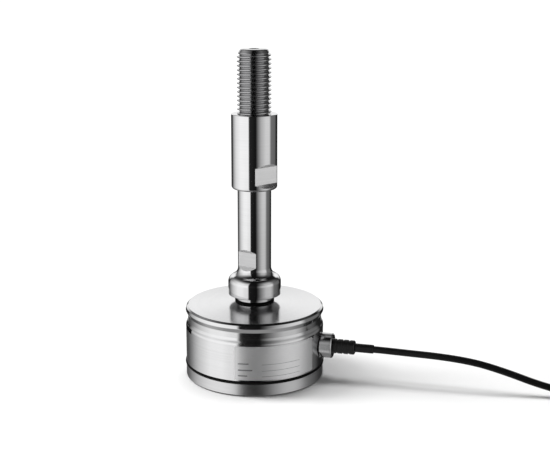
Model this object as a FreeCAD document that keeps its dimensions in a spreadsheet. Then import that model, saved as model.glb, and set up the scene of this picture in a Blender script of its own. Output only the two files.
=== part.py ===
"""Weighing load cell with a screw spindle and a locking sleeve.

A round stainless measuring body (Ø100 mm) holds a ceramic capacitive sensor
and its circuit board. A turned spindle stands on the load button in the middle
of the body's top. Its upper end is an M24 stud, and a threaded sleeve with
spanner flats runs on it. A signal cable leaves the body through a side gland.

Frame: millimetres, +Z up, origin at the centre of the base's underside.
The cable gland points along +X.
"""
import FreeCAD, Part
import math
import os
import Sketcher

os.makedirs("parts", exist_ok=True)

V = FreeCAD.Vector
doc = FreeCAD.newDocument("load_cell")

# ---------------------------------------------------------------- dimensions
SIZES = [
    # base plate and its seal
    ("base_radius", 50.0), ("base_height", 9.2), ("base_edge", 1.0),
    ("register_radius", 40.9), ("register_top", 14.6),
    ("base_recess_radius", 34.0), ("base_recess_floor", 7.0),
    ("seal_top", 11.0), ("seal_inner", 41.2), ("seal_outer", 50.65), ("seal_edge", 0.9),
    ("base_screw_circle", 44.3), ("base_screw_radius", 1.95),
    ("base_screw_head_radius", 3.5), ("base_screw_head_bottom", 0.3),
    ("base_screw_head_top", 4.3), ("base_screw_tip", 20.3),
    ("base_screw_clearance", 2.25), ("base_counterbore_radius", 3.8),
    ("tapped_radius", 2.0), ("tapped_top", 22.3), ("socket_across", 3.0),
    ("socket_floor", 2.3),
    # measuring body, outside
    ("body_radius", 50.0), ("wall_edge", 0.3), ("shoulder_low", 37.5),
    ("shoulder_high", 41.4), ("shoulder_radius", 48.6), ("neck_radius", 48.5),
    ("neck_top", 46.0), ("rim_radius", 50.1),
    ("rim_high", 49.3), ("top_edge_radius", 49.1), ("top_edge_height", 52.45),
    ("crown_height", 55.0), ("seat_radius", 12.6), ("seat_height", 54.6),
    # measuring body, inside
    ("cavity_radius", 38.0), ("register_bore", 41.0), ("register_bore_top", 16.6),
    ("sensor_ring_height", 38.0), ("sensor_ring_inner", 25.0),
    ("membrane_height", 41.0), ("boss_radius", 10.0), ("boss_bottom", 35.0),
    ("stem_hole_radius", 6.03), ("stem_hole_floor", 46.0),
    ("small_tap_radius", 1.5), ("small_tap_top", 45.0),
    ("slot_angle", -145.6), ("slot_width", 12.0), ("slot_low", 36.1),
    ("slot_high", 39.3), ("slot_floor", 46.2),
    # load button and the seal around it
    ("stem_radius", 6.0), ("stem_bottom", 46.1), ("post_radius", 8.5),
    ("dome_edge_radius", 7.6), ("dome_edge_height", 66.15),
    ("post_top", 65.25), ("dome_height", 66.6), ("dome_curve", 41.7), ("dome_flat", 1.5),
    ("button_seal_inner", 8.6), ("button_seal_outer", 12.4),
    ("button_seal_top", 55.95), ("seal_lip_inner", 13.45), ("seal_lip_outer", 14.2),
    ("seal_lip_bottom", 55.03), ("seal_lip_top", 56.2), ("seal_lip_edge", 0.3),
    # sensor and electronics
    ("sensor_radius", 31.5), ("sensor_bottom", 30.6), ("sensor_top", 34.6),
    ("sensor_hole", 2.0), ("sensor_screw_circle", 29.0),
    ("sensor_screw_clearance", 1.7), ("small_screw_radius", 1.45),
    ("small_head_radius", 2.75), ("small_head_height", 2.6),
    ("small_socket_across", 2.5), ("small_socket_depth", 1.3),
    ("spacer_radius", 2.4), ("sensor_screw_tip", 43.0),
    ("board_radius", 37.0), ("board_bottom", 22.0), ("board_top", 23.6),
    ("pillar_circle", 34.5), ("pillar_across", 5.0), ("pillar_stud_top", 43.5),
    ("pillar_hole_top", 32.0), ("board_screw_tip", 30.0),
    ("terminal_x", 22.2), ("terminal_length", 6.0), ("terminal_width", 8.0),
    ("terminal_height", 3.6), ("shield_length", 22.0), ("shield_width", 17.0),
    ("shield_height", 3.2), ("lead_radius", 1.3),
    # gland, strain relief and cable; distances run out from the body's axis
    ("gland_height", 25.0), ("gland_radius", 9.0), ("gland_start", 49.9),
    ("gland_end", 58.6), ("gland_bevel", 0.8), ("gland_spigot_radius", 6.0),
    ("gland_spigot_start", 38.3), ("gland_bore", 5.15), ("gland_bore_floor", 47.2),
    ("gland_cable_bore", 2.6), ("gland_port_radius", 6.05),
    ("gland_face_radius", 9.5), ("gland_face", 48.6), ("washer_inner", 6.1),
    ("washer_outer", 8.8), ("grommet_start", 47.25), ("grommet_end", 53.2),
    ("ferrule_end", 54.4), ("gland_fill_radius", 5.1), ("relief_end", 74.5),
    ("relief_crest", 5.3), ("relief_valley", 4.8), ("relief_round", 0.7),
    ("relief_rib_start", 60.9), ("relief_rib_pitch", 4.3),
    ("cable_bore", 2.5), ("cable_radius", 2.475), ("cable_start", 43.0),
    ("cable_sleeve_radius", 3.15), ("cable_sleeve_end", 88.0),
    # points of the cable's route: out, to the side, and below the gland's axis
    ("bend_one_out", 88.0), ("bend_one_side", 0.0), ("bend_one_drop", 0.0),
    ("bend_two_out", 112.0), ("bend_two_side", 0.0), ("bend_two_drop", 0.6),
    ("bend_three_out", 137.0), ("bend_three_side", 0.1), ("bend_three_drop", 1.1),
    ("bend_four_out", 160.5), ("bend_four_side", 0.7), ("bend_four_drop", 3.4),
    ("bend_five_out", 182.0), ("bend_five_side", 1.7), ("bend_five_drop", 9.0),
    ("bend_six_out", 203.0), ("bend_six_side", 2.8), ("bend_six_drop", 15.9),
    ("bend_seven_out", 225.0), ("bend_seven_side", 3.8), ("bend_seven_drop", 20.6),
    ("bend_eight_out", 247.0), ("bend_eight_side", 5.0), ("bend_eight_drop", 21.6),
    # the spare cable, wound into a flat coil and tied
    ("coil_out", 261.0), ("coil_side", 45.0), ("coil_inner", 19.5),
    ("coil_outer", 42.5), ("coil_low", 0.9), ("coil_high", 21.6), ("coil_round", 3.0),
    ("tie_angle", 60.0), ("tie_inner", 18.85), ("tie_outer", 42.6),
    ("tie_low", 0.85), ("tie_high", 21.7), ("tie_thickness", 0.8), ("tie_width", 9.0),
    # label plate
    ("label_angle", -55.9), ("label_sweep", 71.0), ("label_bottom", 12.2),
    ("label_top", 36.7), ("label_thickness", 0.25), ("label_corner", 1.0),
    # spindle
    ("spindle_angle", -107.5), ("collar_bottom", 56.4), ("collar_foot", 13.2),
    ("collar_radius", 19.1), ("collar_low", 60.2), ("collar_high", 69.25),
    ("dome_radius", 5.5), ("dome_end_radius", 15.846), ("dome_end_height", 74.271),
    ("neck_fillet", 6.5), ("neck_fillet_top", 80.204), ("rod_radius", 12.0),
    ("thread_start", 150.0), ("run_radius", 11.8), ("stud_start", 191.0),
    ("stud_chamfer_low", 231.1), ("stud_top", 235.6), ("stud_tip_radius", 9.2),
    ("centre_radius", 3.5), ("centre_floor", 231.8), ("pilot_radius", 1.3),
    ("pilot_floor", 229.0), ("pilot_tip", 228.2), ("bearing_bore", 8.56),
    ("bearing_roof", 69.6), ("ring_groove_radius", 10.75),
    ("ring_groove_low", 60.3), ("ring_groove_high", 62.5),
    ("rod_flat", 9.5), ("rod_flat_low", 81.9), ("rod_flat_high", 92.3),
    ("rod_flat_reach", 14.0), ("rod_flat_slope", 4.5),
    ("pad_radius", 8.45), ("pad_bottom", 66.7),
    ("spindle_ring_radius", 9.72), ("spindle_ring_section", 0.95),
    ("spindle_ring_height", 61.4),
    # locking sleeve
    ("sleeve_angle", -35.6), ("sleeve_bore", 12.06), ("sleeve_radius", 16.25),
    ("sleeve_bottom", 137.7), ("sleeve_top", 190.9), ("sleeve_round", 2.0),
    ("sleeve_chamfer", 0.5), ("bore_chamfer", 0.7), ("sleeve_groove", 13.55),
    ("sleeve_groove_low", 138.6), ("sleeve_groove_high", 140.5),
    ("sleeve_flat", 13.0), ("sleeve_flat_low", 142.5), ("sleeve_flat_high", 154.3),
    ("sleeve_flat_reach", 18.0), ("sleeve_flat_slope", 4.0),
    ("sleeve_ring_radius", 12.78), ("sleeve_ring_section", 0.62),
    ("sleeve_ring_height", 139.55),
]

sheet = doc.addObject("Spreadsheet::Sheet", "dims")
for row, (alias, value) in enumerate(SIZES, start=1):
    sheet.set("A%d" % row, alias)
    sheet.set("B%d" % row, repr(value))
    sheet.setAlias("B%d" % row, alias)
doc.recompute()


class Size:
    """A length with its value and the sheet formula that drives it."""

    def __init__(self, value, formula):
        self.v = float(value)
        self.e = formula

    def _pair(self, other):
        if isinstance(other, Size):
            return other.v, other.e
        return float(other), repr(float(other))

    def __add__(self, other):
        v, e = self._pair(other)
        return Size(self.v + v, "(%s + %s)" % (self.e, e))

    def __sub__(self, other):
        v, e = self._pair(other)
        return Size(self.v - v, "(%s - %s)" % (self.e, e))

    def __mul__(self, other):
        v, e = self._pair(other)
        return Size(self.v * v, "(%s * %s)" % (self.e, e))


def D(alias):
    return Size(sheet.get(alias), "dims." + alias)


ZERO = Size(0.0, "0")


class Arc:
    """An arc to the next profile point; side +1 bulges left of the chord."""

    def __init__(self, radius, side):
        self.radius = radius
        self.side = side


# ---------------------------------------------------------------- helpers
def new_body(label):
    body = doc.addObject("PartDesign::Body", label)
    body.Label = label
    if hasattr(body, "AllowCompound"):
        body.AllowCompound = True
    return body


def origin(body, role):
    for feature in body.Origin.OriginFeatures:
        if feature.Role == role:
            return feature
    raise ValueError(role)


def new_sketch(body, name, plane="XZ_Plane", turn=0.0, lift=0.0):
    sk = body.newObject("Sketcher::SketchObject", name)
    sk.AttachmentSupport = [(origin(body, plane), "")]
    sk.MapMode = "FlatFace"
    if turn or lift:
        # about the sketch's own vertical on XZ; along its normal on XY
        sk.AttachmentOffset = FreeCAD.Placement(
            V(0, 0, lift), FreeCAD.Rotation(V(0, 1, 0), turn))
    return sk


def bind(sk, constraint, size):
    index = sk.addConstraint(constraint)
    sk.setExpression("Constraints[%d]" % index, size.e)


def pin_point(sk, geo, pos, x, y):
    """Hold one sketch point at (x, y) from the sketch origin."""
    if abs(x.v) < 1e-9:
        sk.addConstraint(Sketcher.Constraint("PointOnObject", geo, pos, -2))
    else:
        bind(sk, Sketcher.Constraint("DistanceX", -1, 1, geo, pos, x.v), x)
    if abs(y.v) < 1e-9:
        sk.addConstraint(Sketcher.Constraint("PointOnObject", geo, pos, -1))
    else:
        bind(sk, Sketcher.Constraint("DistanceY", -1, 1, geo, pos, y.v), y)


def outline(sk, points):
    """Closed profile through (x, y) points; an Arc between two points bends that edge."""
    corners, bends = [], {}
    for item in points:
        if isinstance(item, Arc):
            bends[len(corners) - 1] = item
        else:
            corners.append(item)
    count = len(corners)
    first = sk.GeometryCount
    for i in range(count):
        a, b = corners[i], corners[(i + 1) % count]
        pa, pb = V(a[0].v, a[1].v, 0), V(b[0].v, b[1].v, 0)
        if i in bends:
            r, side = bends[i].radius.v, bends[i].side
            chord = pb - pa
            half = chord.Length / 2.0
            normal = V(-chord.y, chord.x, 0).normalize()
            sag = r - math.sqrt(max(r * r - half * half, 0.0))
            middle = (pa + pb) * 0.5 + normal * (side * sag)
            sk.addGeometry(Part.Arc(pa, middle, pb), False)
        else:
            sk.addGeometry(Part.LineSegment(pa, pb), False)
    # an arc is kept anticlockwise, so one that bulges left starts at its far corner
    ends = [(2, 1) if i in bends and bends[i].side > 0 else (1, 2) for i in range(count)]
    for i in range(count):
        j = (i + 1) % count
        sk.addConstraint(Sketcher.Constraint(
            "Coincident", first + i, ends[i][1], first + j, ends[j][0]))
    for i in range(count):
        pin_point(sk, first + i, ends[i][0], corners[i][0], corners[i][1])
    for i in bends:
        bind(sk, Sketcher.Constraint("Radius", first + i, bends[i].radius.v), bends[i].radius)
    return first


def centre_line(sk, x0, y0, x1, y1):
    """Construction line for a turned feature off the body's own axis."""
    geo = sk.addGeometry(
        Part.LineSegment(V(x0.v, y0.v, 0), V(x1.v, y1.v, 0)), True)
    pin_point(sk, geo, 1, x0, y0)
    pin_point(sk, geo, 2, x1, y1)
    return geo


def turn(body, name, points, cut=False, axis="V_Axis", angle=360.0, sk=None):
    """Turned solid, or turned cut, of one profile."""
    if sk is None:
        sk = new_sketch(body, name + "_profile")
    outline(sk, points)
    kind = "PartDesign::Groove" if cut else "PartDesign::Revolution"
    feature = body.newObject(kind, name)
    feature.Profile = sk
    feature.ReferenceAxis = (sk, [axis])
    feature.Angle = angle
    doc.recompute()
    return feature


def around(body, name, features, count):
    """Even pattern about the body's vertical axis."""
    pattern = body.newObject("PartDesign::PolarPattern", name)
    pattern.Originals = features
    pattern.Axis = (origin(body, "Z_Axis"), [""])
    pattern.Angle = 360
    pattern.Occurrences = count
    body.Tip = pattern
    doc.recompute()
    return pattern


def must_shrink(body, before, what):
    after = body.Shape.Volume
    if not after < before - 1e-3:
        raise RuntimeError("%s removed nothing" % what)
    return after


def circle_edges(shape, wanted):
    """Names of the full-circle edges at (radius, height) pairs."""
    names = []
    for index, edge in enumerate(shape.Edges, start=1):
        curve = edge.Curve
        if not hasattr(curve, "Radius") or not hasattr(curve, "Center"):
            continue
        for radius, height in wanted:
            if abs(curve.Radius - radius.v) < 1e-3 and abs(curve.Center.z - height.v) < 1e-3 \
                    and abs(curve.Center.x) < 1e-3 and abs(curve.Center.y) < 1e-3:
                names.append("Edge%d" % index)
                break
    return names


def round_edges(body, name, base, wanted, radius, kind="PartDesign::Fillet"):
    doc.recompute()
    names = circle_edges(base.Shape, wanted)
    if len(names) < len(wanted):
        raise RuntimeError("%s: found %d of %d edges" % (name, len(names), len(wanted)))
    feature = body.newObject(kind, name)
    feature.Base = (base, names)
    if kind.endswith("Fillet"):
        feature.Radius = radius.v
        feature.setExpression("Radius", radius.e)
    else:
        feature.Size = radius.v
        feature.setExpression("Size", radius.e)
    body.Tip = feature
    doc.recompute()
    return feature


def through_cut(body, name, points, across, sk_turn=0.0, plane="XZ_Plane"):
    """Prismatic cut of a profile, the same distance to both sides of its plane."""
    sk = new_sketch(body, name + "_profile", plane, sk_turn)
    outline(sk, points)
    pocket = body.newObject("PartDesign::Pocket", name)
    pocket.Profile = sk
    pocket.Length = across.v
    pocket.setExpression("Length", across.e)
    if hasattr(pocket, "SideType"):
        pocket.SideType = "Symmetric"
    else:
        pocket.Midplane = True
    doc.recompute()
    return pocket


def hexagon(sk, x, y, across):
    """Regular six-sided outline, flats square to the sketch's horizontal."""
    r = across.v / math.sqrt(3.0)
    first = sk.GeometryCount
    pts = [V(x.v + r * math.cos(math.radians(30 + 60 * i)),
             y.v + r * math.sin(math.radians(30 + 60 * i)), 0) for i in range(6)]
    for i in range(6):
        sk.addGeometry(Part.LineSegment(pts[i], pts[(i + 1) % 6]), False)
    ring = sk.addGeometry(Part.Circle(V(x.v, y.v, 0), V(0, 0, 1), r), True)
    for i in range(6):
        sk.addConstraint(Sketcher.Constraint(
            "Coincident", first + i, 2, first + (i + 1) % 6, 1))
        sk.addConstraint(Sketcher.Constraint("PointOnObject", first + i, 1, ring))
    for i in range(1, 6):
        sk.addConstraint(Sketcher.Constraint("Equal", first, first + i))
    sk.addConstraint(Sketcher.Constraint("Vertical", first + 5))
    pin_point(sk, ring, 3, x, y)
    bind(sk, Sketcher.Constraint("Radius", ring, r), across * (1.0 / math.sqrt(3.0)))


def place(obj, move=V(0, 0, 0), axis=V(0, 0, 1), angle=0.0):
    obj.Placement = FreeCAD.Placement(move, FreeCAD.Rotation(axis, angle))


def along_gland(obj):
    """Turn a piece made along Z so that it lies on the gland's axis, +X."""
    place(obj, V(0, 0, D("gland_height").v), V(0, 1, 0), 90)


parts = []

# ---------------------------------------------------------------- base plate
base = new_body("base_plate")
disc = turn(base, "base_disc", [
    (ZERO, ZERO), (D("base_radius"), ZERO), (D("base_radius"), D("base_height")),
    (D("register_radius"), D("base_height")), (D("register_radius"), D("register_top")),
    (D("base_recess_radius"), D("register_top")),
    (D("base_recess_radius"), D("base_recess_floor")), (ZERO, D("base_recess_floor"))])
bevel = round_edges(base, "base_bevel", disc, [(D("base_radius"), ZERO)],
                    D("base_edge"), "PartDesign::Chamfer")
bevel = round_edges(base, "base_top_edge", bevel, [(D("base_radius"), D("base_height"))],
                    D("wall_edge"), "PartDesign::Chamfer")
before = base.Shape.Volume
sk = new_sketch(base, "base_hole_profile")
x0 = D("base_screw_circle")
centre_line(sk, x0, ZERO, x0, D("base_height"))
hole = turn(base, "base_hole", [
    (x0, ZERO), (x0 + D("base_counterbore_radius"), ZERO),
    (x0 + D("base_counterbore_radius"), D("base_screw_head_top")),
    (x0 + D("base_screw_clearance"), D("base_screw_head_top")),
    (x0 + D("base_screw_clearance"), D("base_height")), (x0, D("base_height"))],
    cut=True, axis="Axis0", sk=sk)
around(base, "base_holes", [hole], 6)
must_shrink(base, before, "base holes")
place(base, angle=30)
parts.append(base)

# flat rubber seal between the base plate and the measuring body
seal = new_body("base_seal")
turn(seal, "seal_ring", [
    (D("seal_inner"), D("base_height")), (D("seal_outer") - D("seal_edge"), D("base_height")),
    Arc(D("seal_edge"), -1), (D("seal_outer"), D("base_height") + D("seal_edge")),
    Arc(D("seal_edge"), -1), (D("seal_outer") - D("seal_edge"), D("seal_top")),
    (D("seal_inner"), D("seal_top"))])
before = seal.Shape.Volume
sk = new_sketch(seal, "seal_hole_profile")
centre_line(sk, x0, D("base_height"), x0, D("seal_top"))
hole = turn(seal, "seal_hole", [
    (x0, D("base_height")), (x0 + D("base_screw_clearance"), D("base_height")),
    (x0 + D("base_screw_clearance"), D("seal_top")), (x0, D("seal_top"))],
    cut=True, axis="Axis0", sk=sk)
around(seal, "seal_holes", [hole], 6)
must_shrink(seal, before, "seal holes")
place(seal, angle=30)
parts.append(seal)

# six socket cap screws hold the base plate up against the measuring body
screws = new_body("base_screws")
sk = new_sketch(screws, "base_screw_profile")
centre_line(sk, x0, D("base_screw_head_bottom"), x0, D("base_screw_tip"))
screw = turn(screws, "base_screw", [
    (x0, D("base_screw_head_bottom")),
    (x0 + D("base_screw_head_radius") - 0.4, D("base_screw_head_bottom")),
    (x0 + D("base_screw_head_radius"), D("base_screw_head_bottom") + 0.4),
    (x0 + D("base_screw_head_radius"), D("base_screw_head_top")),
    (x0 + D("base_screw_radius"), D("base_screw_head_top")),
    (x0 + D("base_screw_radius"), D("base_screw_tip") - 0.8),
    (x0 + D("base_screw_radius") - 0.8, D("base_screw_tip")),
    (x0, D("base_screw_tip"))], axis="Axis0", sk=sk)
before = screws.Shape.Volume
sk = new_sketch(screws, "base_socket_profile", "XY_Plane")
hexagon(sk, x0, ZERO, D("socket_across"))
socket = screws.newObject("PartDesign::Pocket", "base_socket")
socket.Profile = sk
socket.Length = D("socket_floor").v
socket.setExpression("Length", "dims.socket_floor")
socket.Reversed = True
doc.recompute()
must_shrink(screws, before, "screw socket")
around(screws, "base_screw_set", [screw, socket], 6)
place(screws, angle=30)
parts.append(screws)

# ---------------------------------------------------------------- measuring body
housing = new_body("housing")
shell = turn(housing, "housing_turning", [
    (ZERO, D("boss_bottom")), (D("boss_radius"), D("boss_bottom")),
    (D("boss_radius"), D("membrane_height")), (D("sensor_ring_inner"), D("membrane_height")),
    (D("sensor_ring_inner"), D("sensor_ring_height")),
    (D("cavity_radius"), D("sensor_ring_height")),
    (D("cavity_radius"), D("register_bore_top")), (D("register_bore"), D("register_bore_top")),
    (D("register_bore"), D("seal_top")), (D("body_radius") - D("wall_edge"), D("seal_top")),
    (D("body_radius"), D("seal_top") + D("wall_edge")), (D("body_radius"), D("shoulder_low")),
    (D("shoulder_radius"), D("shoulder_high")), (D("neck_radius"), D("shoulder_high") + 0.2),
    (D("neck_radius"), D("neck_top")),
    (D("rim_radius"), D("rim_high")), (D("top_edge_radius"), D("top_edge_height")),
    (D("seat_radius"), D("crown_height")), (D("seat_radius"), D("seat_height")),
    (D("stem_hole_radius"), D("seat_height")), (D("stem_hole_radius"), D("stem_hole_floor")),
    (ZERO, D("stem_hole_floor"))])
# soft edges of the polished outside
soft = round_edges(housing, "neck_rounding", shell, [
    (D("neck_radius"), D("neck_top"))], Size(0.8, "0.8"))
soft = round_edges(housing, "rim_rounding", soft, [(D("rim_radius"), D("rim_high"))], Size(1.2, "1.2"))
soft = round_edges(housing, "top_edge", soft, [
    (D("top_edge_radius"), D("top_edge_height"))], Size(2.6, "2.6"))
before = housing.Shape.Volume
# narrow slot in the shoulder
through_cut(housing, "shoulder_slot", [
    (D("slot_floor"), D("slot_low")), (D("body_radius") + 2.0, D("slot_low")),
    (D("body_radius") + 2.0, D("slot_high")), (D("slot_floor"), D("slot_high"))],
    D("slot_width"), sk_turn=D("slot_angle").v)
before = must_shrink(housing, before, "shoulder slot")
# tapped holes for the base screws
sk = new_sketch(housing, "tapped_profile", turn=30)
centre_line(sk, x0, D("seal_top"), x0, D("tapped_top"))
tapped = turn(housing, "tapped_hole", [
    (x0, D("seal_top")), (x0 + D("tapped_radius"), D("seal_top")),
    (x0 + D("tapped_radius"), D("tapped_top") - 1.2), (x0, D("tapped_top"))],
    cut=True, axis="Axis0", sk=sk)
around(housing, "tapped_holes", [tapped], 6)
before = must_shrink(housing, before, "tapped holes")
# cable port: a threaded hole with a flat seat for the gland
sk = new_sketch(housing, "port_profile")
zg = D("gland_height")
start = D("cavity_radius") - 2.0
end = D("body_radius") + 3.0
centre_line(sk, start, zg, end, zg)
turn(housing, "cable_port", [
    (start, zg), (end, zg), (end, zg + D("gland_face_radius")),
    (D("gland_face"), zg + D("gland_face_radius")),
    (D("gland_face"), zg + D("gland_port_radius")), (start, zg + D("gland_port_radius"))],
    cut=True, axis="Axis0", sk=sk)
before = must_shrink(housing, before, "cable port")
# small threaded holes in the sensor ring
for name, circle, angle in (("sensor_tap", "sensor_screw_circle", 90), ("pillar_tap", "pillar_circle", 60)):
    sk = new_sketch(housing, name + "_profile", turn=angle)
    xc = D(circle)
    centre_line(sk, xc, D("sensor_ring_height"), xc, D("small_tap_top"))
    tap = turn(housing, name, [
        (xc, D("sensor_ring_height")), (xc + D("small_tap_radius"), D("sensor_ring_height")),
        (xc + D("small_tap_radius"), D("small_tap_top") - 0.8), (xc, D("small_tap_top"))],
        cut=True, axis="Axis0", sk=sk)
    around(housing, name + "_set", [tap], 3)
    before = must_shrink(housing, before, name)
parts.append(housing)

# curved label plate on the body's wall
label = new_body("label_plate")
sk = new_sketch(label, "label_profile")
outline(sk, [
    (D("body_radius"), D("label_bottom")), (D("body_radius") + D("label_thickness"), D("label_bottom")),
    (D("body_radius") + D("label_thickness"), D("label_top")), (D("body_radius"), D("label_top"))])
sheet_metal = label.newObject("PartDesign::Revolution", "label_sheet")
sheet_metal.Profile = sk
sheet_metal.ReferenceAxis = (sk, ["V_Axis"])
sheet_metal.Angle = D("label_sweep").v
sheet_metal.setExpression("Angle", "dims.label_sweep")
if hasattr(sheet_metal, "SideType"):
    sheet_metal.SideType = "Symmetric"
else:
    sheet_metal.Midplane = True
doc.recompute()
corner_names = []
for index, edge in enumerate(sheet_metal.Shape.Edges, start=1):
    a, b = edge.Vertexes[0].Point, edge.Vertexes[-1].Point
    if abs(a.z - b.z) < 1e-6 and abs((a - b).Length - D("label_thickness").v) < 1e-6:
        corner_names.append("Edge%d" % index)
corners = label.newObject("PartDesign::Fillet", "label_corners")
corners.Base = (sheet_metal, corner_names)
corners.Radius = D("label_corner").v
corners.setExpression("Radius", "dims.label_corner")
label.Tip = corners
doc.recompute()
place(label, angle=D("label_angle").v)
parts.append(label)

# ---------------------------------------------------------------- load button
button = new_body("load_button")
turn(button, "button_turning", [
    (ZERO, D("stem_bottom")), (D("stem_radius"), D("stem_bottom")),
    (D("stem_radius"), D("seat_height")), (D("post_radius"), D("seat_height")),
    (D("post_radius"), D("post_top")), (D("dome_edge_radius"), D("dome_edge_height")),
    Arc(D("dome_curve"), -1), (D("dome_flat"), D("dome_height")), (ZERO, D("dome_height"))])
parts.append(button)

button_seal = new_body("button_seal")
turn(button_seal, "button_seal_ring", [
    (D("button_seal_inner"), D("seat_height")), (D("button_seal_outer"), D("seat_height")),
    (D("button_seal_outer"), D("seal_lip_bottom")), (D("seal_lip_outer"), D("seal_lip_bottom") - 0.12),
    # a lip stands up round the spindle's neck
    (D("seal_lip_outer"), D("seal_lip_top") - D("seal_lip_edge")),
    (D("seal_lip_outer") - D("seal_lip_edge"), D("seal_lip_top")), (D("seal_lip_inner"), D("seal_lip_top")),
    (D("seal_lip_inner"), D("button_seal_top")), (D("button_seal_inner"), D("button_seal_top"))])
parts.append(button_seal)

# ---------------------------------------------------------------- capacitive sensor
sensor = new_body("sensor_plate")
turn(sensor, "sensor_disc", [
    (D("sensor_hole"), D("sensor_bottom")), (D("sensor_radius"), D("sensor_bottom")),
    (D("sensor_radius"), D("sensor_top")), (D("sensor_hole"), D("sensor_top"))])
before = sensor.Shape.Volume
sk = new_sketch(sensor, "sensor_hole_profile", turn=90)
xs = D("sensor_screw_circle")
centre_line(sk, xs, D("sensor_bottom"), xs, D("sensor_top"))
hole = turn(sensor, "sensor_screw_hole", [
    (xs, D("sensor_bottom")), (xs + D("sensor_screw_clearance"), D("sensor_bottom")),
    (xs + D("sensor_screw_clearance"), D("sensor_top")), (xs, D("sensor_top"))],
    cut=True, axis="Axis0", sk=sk)
around(sensor, "sensor_screw_holes", [hole], 3)
must_shrink(sensor, before, "sensor holes")
parts.append(sensor)

# three ground spacers set the sensor's gap under the boss
spacers = new_body("sensor_spacers")
sk = new_sketch(spacers, "spacer_profile", turn=90)
centre_line(sk, xs, D("sensor_top"), xs, D("sensor_ring_height"))
spacer = turn(spacers, "spacer", [
    (xs + D("sensor_screw_clearance"), D("sensor_top")), (xs + D("spacer_radius"), D("sensor_top")),
    (xs + D("spacer_radius"), D("sensor_ring_height")),
    (xs + D("sensor_screw_clearance"), D("sensor_ring_height"))], axis="Axis0", sk=sk)
around(spacers, "spacer_set", [spacer], 3)
parts.append(spacers)


def small_screws(name, circle, seat, tip, angle):
    """Three small socket cap screws, heads down, on one circle."""
    body = new_body(name)
    xc, head = D(circle), D(seat) - D("small_head_height")
    s = new_sketch(body, name + "_profile", turn=angle)
    centre_line(s, xc, head, xc, D(tip))
    one = turn(body, name + "_one", [
        (xc, head), (xc + D("small_head_radius") - 0.3, head),
        (xc + D("small_head_radius"), head + 0.3),
        (xc + D("small_head_radius"), D(seat)), (xc + D("small_screw_radius"), D(seat)),
        (xc + D("small_screw_radius"), D(tip) - 0.5),
        (xc + D("small_screw_radius") - 0.5, D(tip)), (xc, D(tip))], axis="Axis0", sk=s)
    was = body.Shape.Volume
    s = new_sketch(body, name + "_socket_profile", turn=angle)
    rs = D("small_socket_across") * (1.0 / math.sqrt(3.0))
    centre_line(s, xc, head, xc, head + D("small_socket_depth"))
    cut = turn(body, name + "_socket", [
        (xc, head), (xc + rs, head), (xc + rs, head + D("small_socket_depth")),
        (xc, head + D("small_socket_depth") + 0.5)], cut=True, axis="Axis0", sk=s)
    must_shrink(body, was, name)
    around(body, name + "_set", [one, cut], 3)
    parts.append(body)


small_screws("sensor_screws", "sensor_screw_circle", "sensor_bottom", "sensor_screw_tip", 90)

# ---------------------------------------------------------------- circuit board
board = new_body("circuit_board")
turn(board, "board_disc", [
    (ZERO, D("board_bottom")), (D("board_radius"), D("board_bottom")),
    (D("board_radius"), D("board_top")), (ZERO, D("board_top"))])
before = board.Shape.Volume
sk = new_sketch(board, "board_hole_profile", turn=60)
xp = D("pillar_circle")
centre_line(sk, xp, D("board_bottom"), xp, D("board_top"))
hole = turn(board, "board_hole", [
    (xp, D("board_bottom")), (xp + D("sensor_screw_clearance"), D("board_bottom")),
    (xp + D("sensor_screw_clearance"), D("board_top")), (xp, D("board_top"))],
    cut=True, axis="Axis0", sk=sk)
around(board, "board_holes", [hole], 3)
must_shrink(board, before, "board holes")
parts.append(board)

# hexagonal pillars carry the board below the sensor ring
pillars = new_body("board_pillars")
sk = new_sketch(pillars, "pillar_outline", "XY_Plane")
hexagon(sk, xp, ZERO, D("pillar_across"))
sk.AttachmentOffset = FreeCAD.Placement(V(0, 0, D("board_top").v), FreeCAD.Rotation())
sk.setExpression("AttachmentOffset.Base.z", "dims.board_top")
pillar = pillars.newObject("PartDesign::Pad", "pillar")
pillar.Profile = sk
span = D("sensor_ring_height") - D("board_top")
pillar.Length = span.v
pillar.setExpression("Length", span.e)
doc.recompute()
sk = new_sketch(pillars, "pillar_stud_profile")
centre_line(sk, xp, D("sensor_ring_height") - 1.0, xp, D("pillar_stud_top"))
stud = turn(pillars, "pillar_stud", [
    (xp, D("sensor_ring_height") - 1.0), (xp + D("small_screw_radius"), D("sensor_ring_height") - 1.0),
    (xp + D("small_screw_radius"), D("pillar_stud_top")), (xp, D("pillar_stud_top"))],
    axis="Axis0", sk=sk)
before = pillars.Shape.Volume
sk = new_sketch(pillars, "pillar_hole_profile")
centre_line(sk, xp, D("board_top"), xp, D("pillar_hole_top"))
hole = turn(pillars, "pillar_hole", [
    (xp, D("board_top")), (xp + D("small_tap_radius"), D("board_top")),
    (xp + D("small_tap_radius"), D("pillar_hole_top") - 0.8), (xp, D("pillar_hole_top"))],
    cut=True, axis="Axis0", sk=sk)
must_shrink(pillars, before, "pillar hole")
around(pillars, "pillar_set", [pillar, stud, hole], 3)
place(pillars, angle=60)
parts.append(pillars)

small_screws("board_screws", "pillar_circle", "board_bottom", "board_screw_tip", 60)

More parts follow.
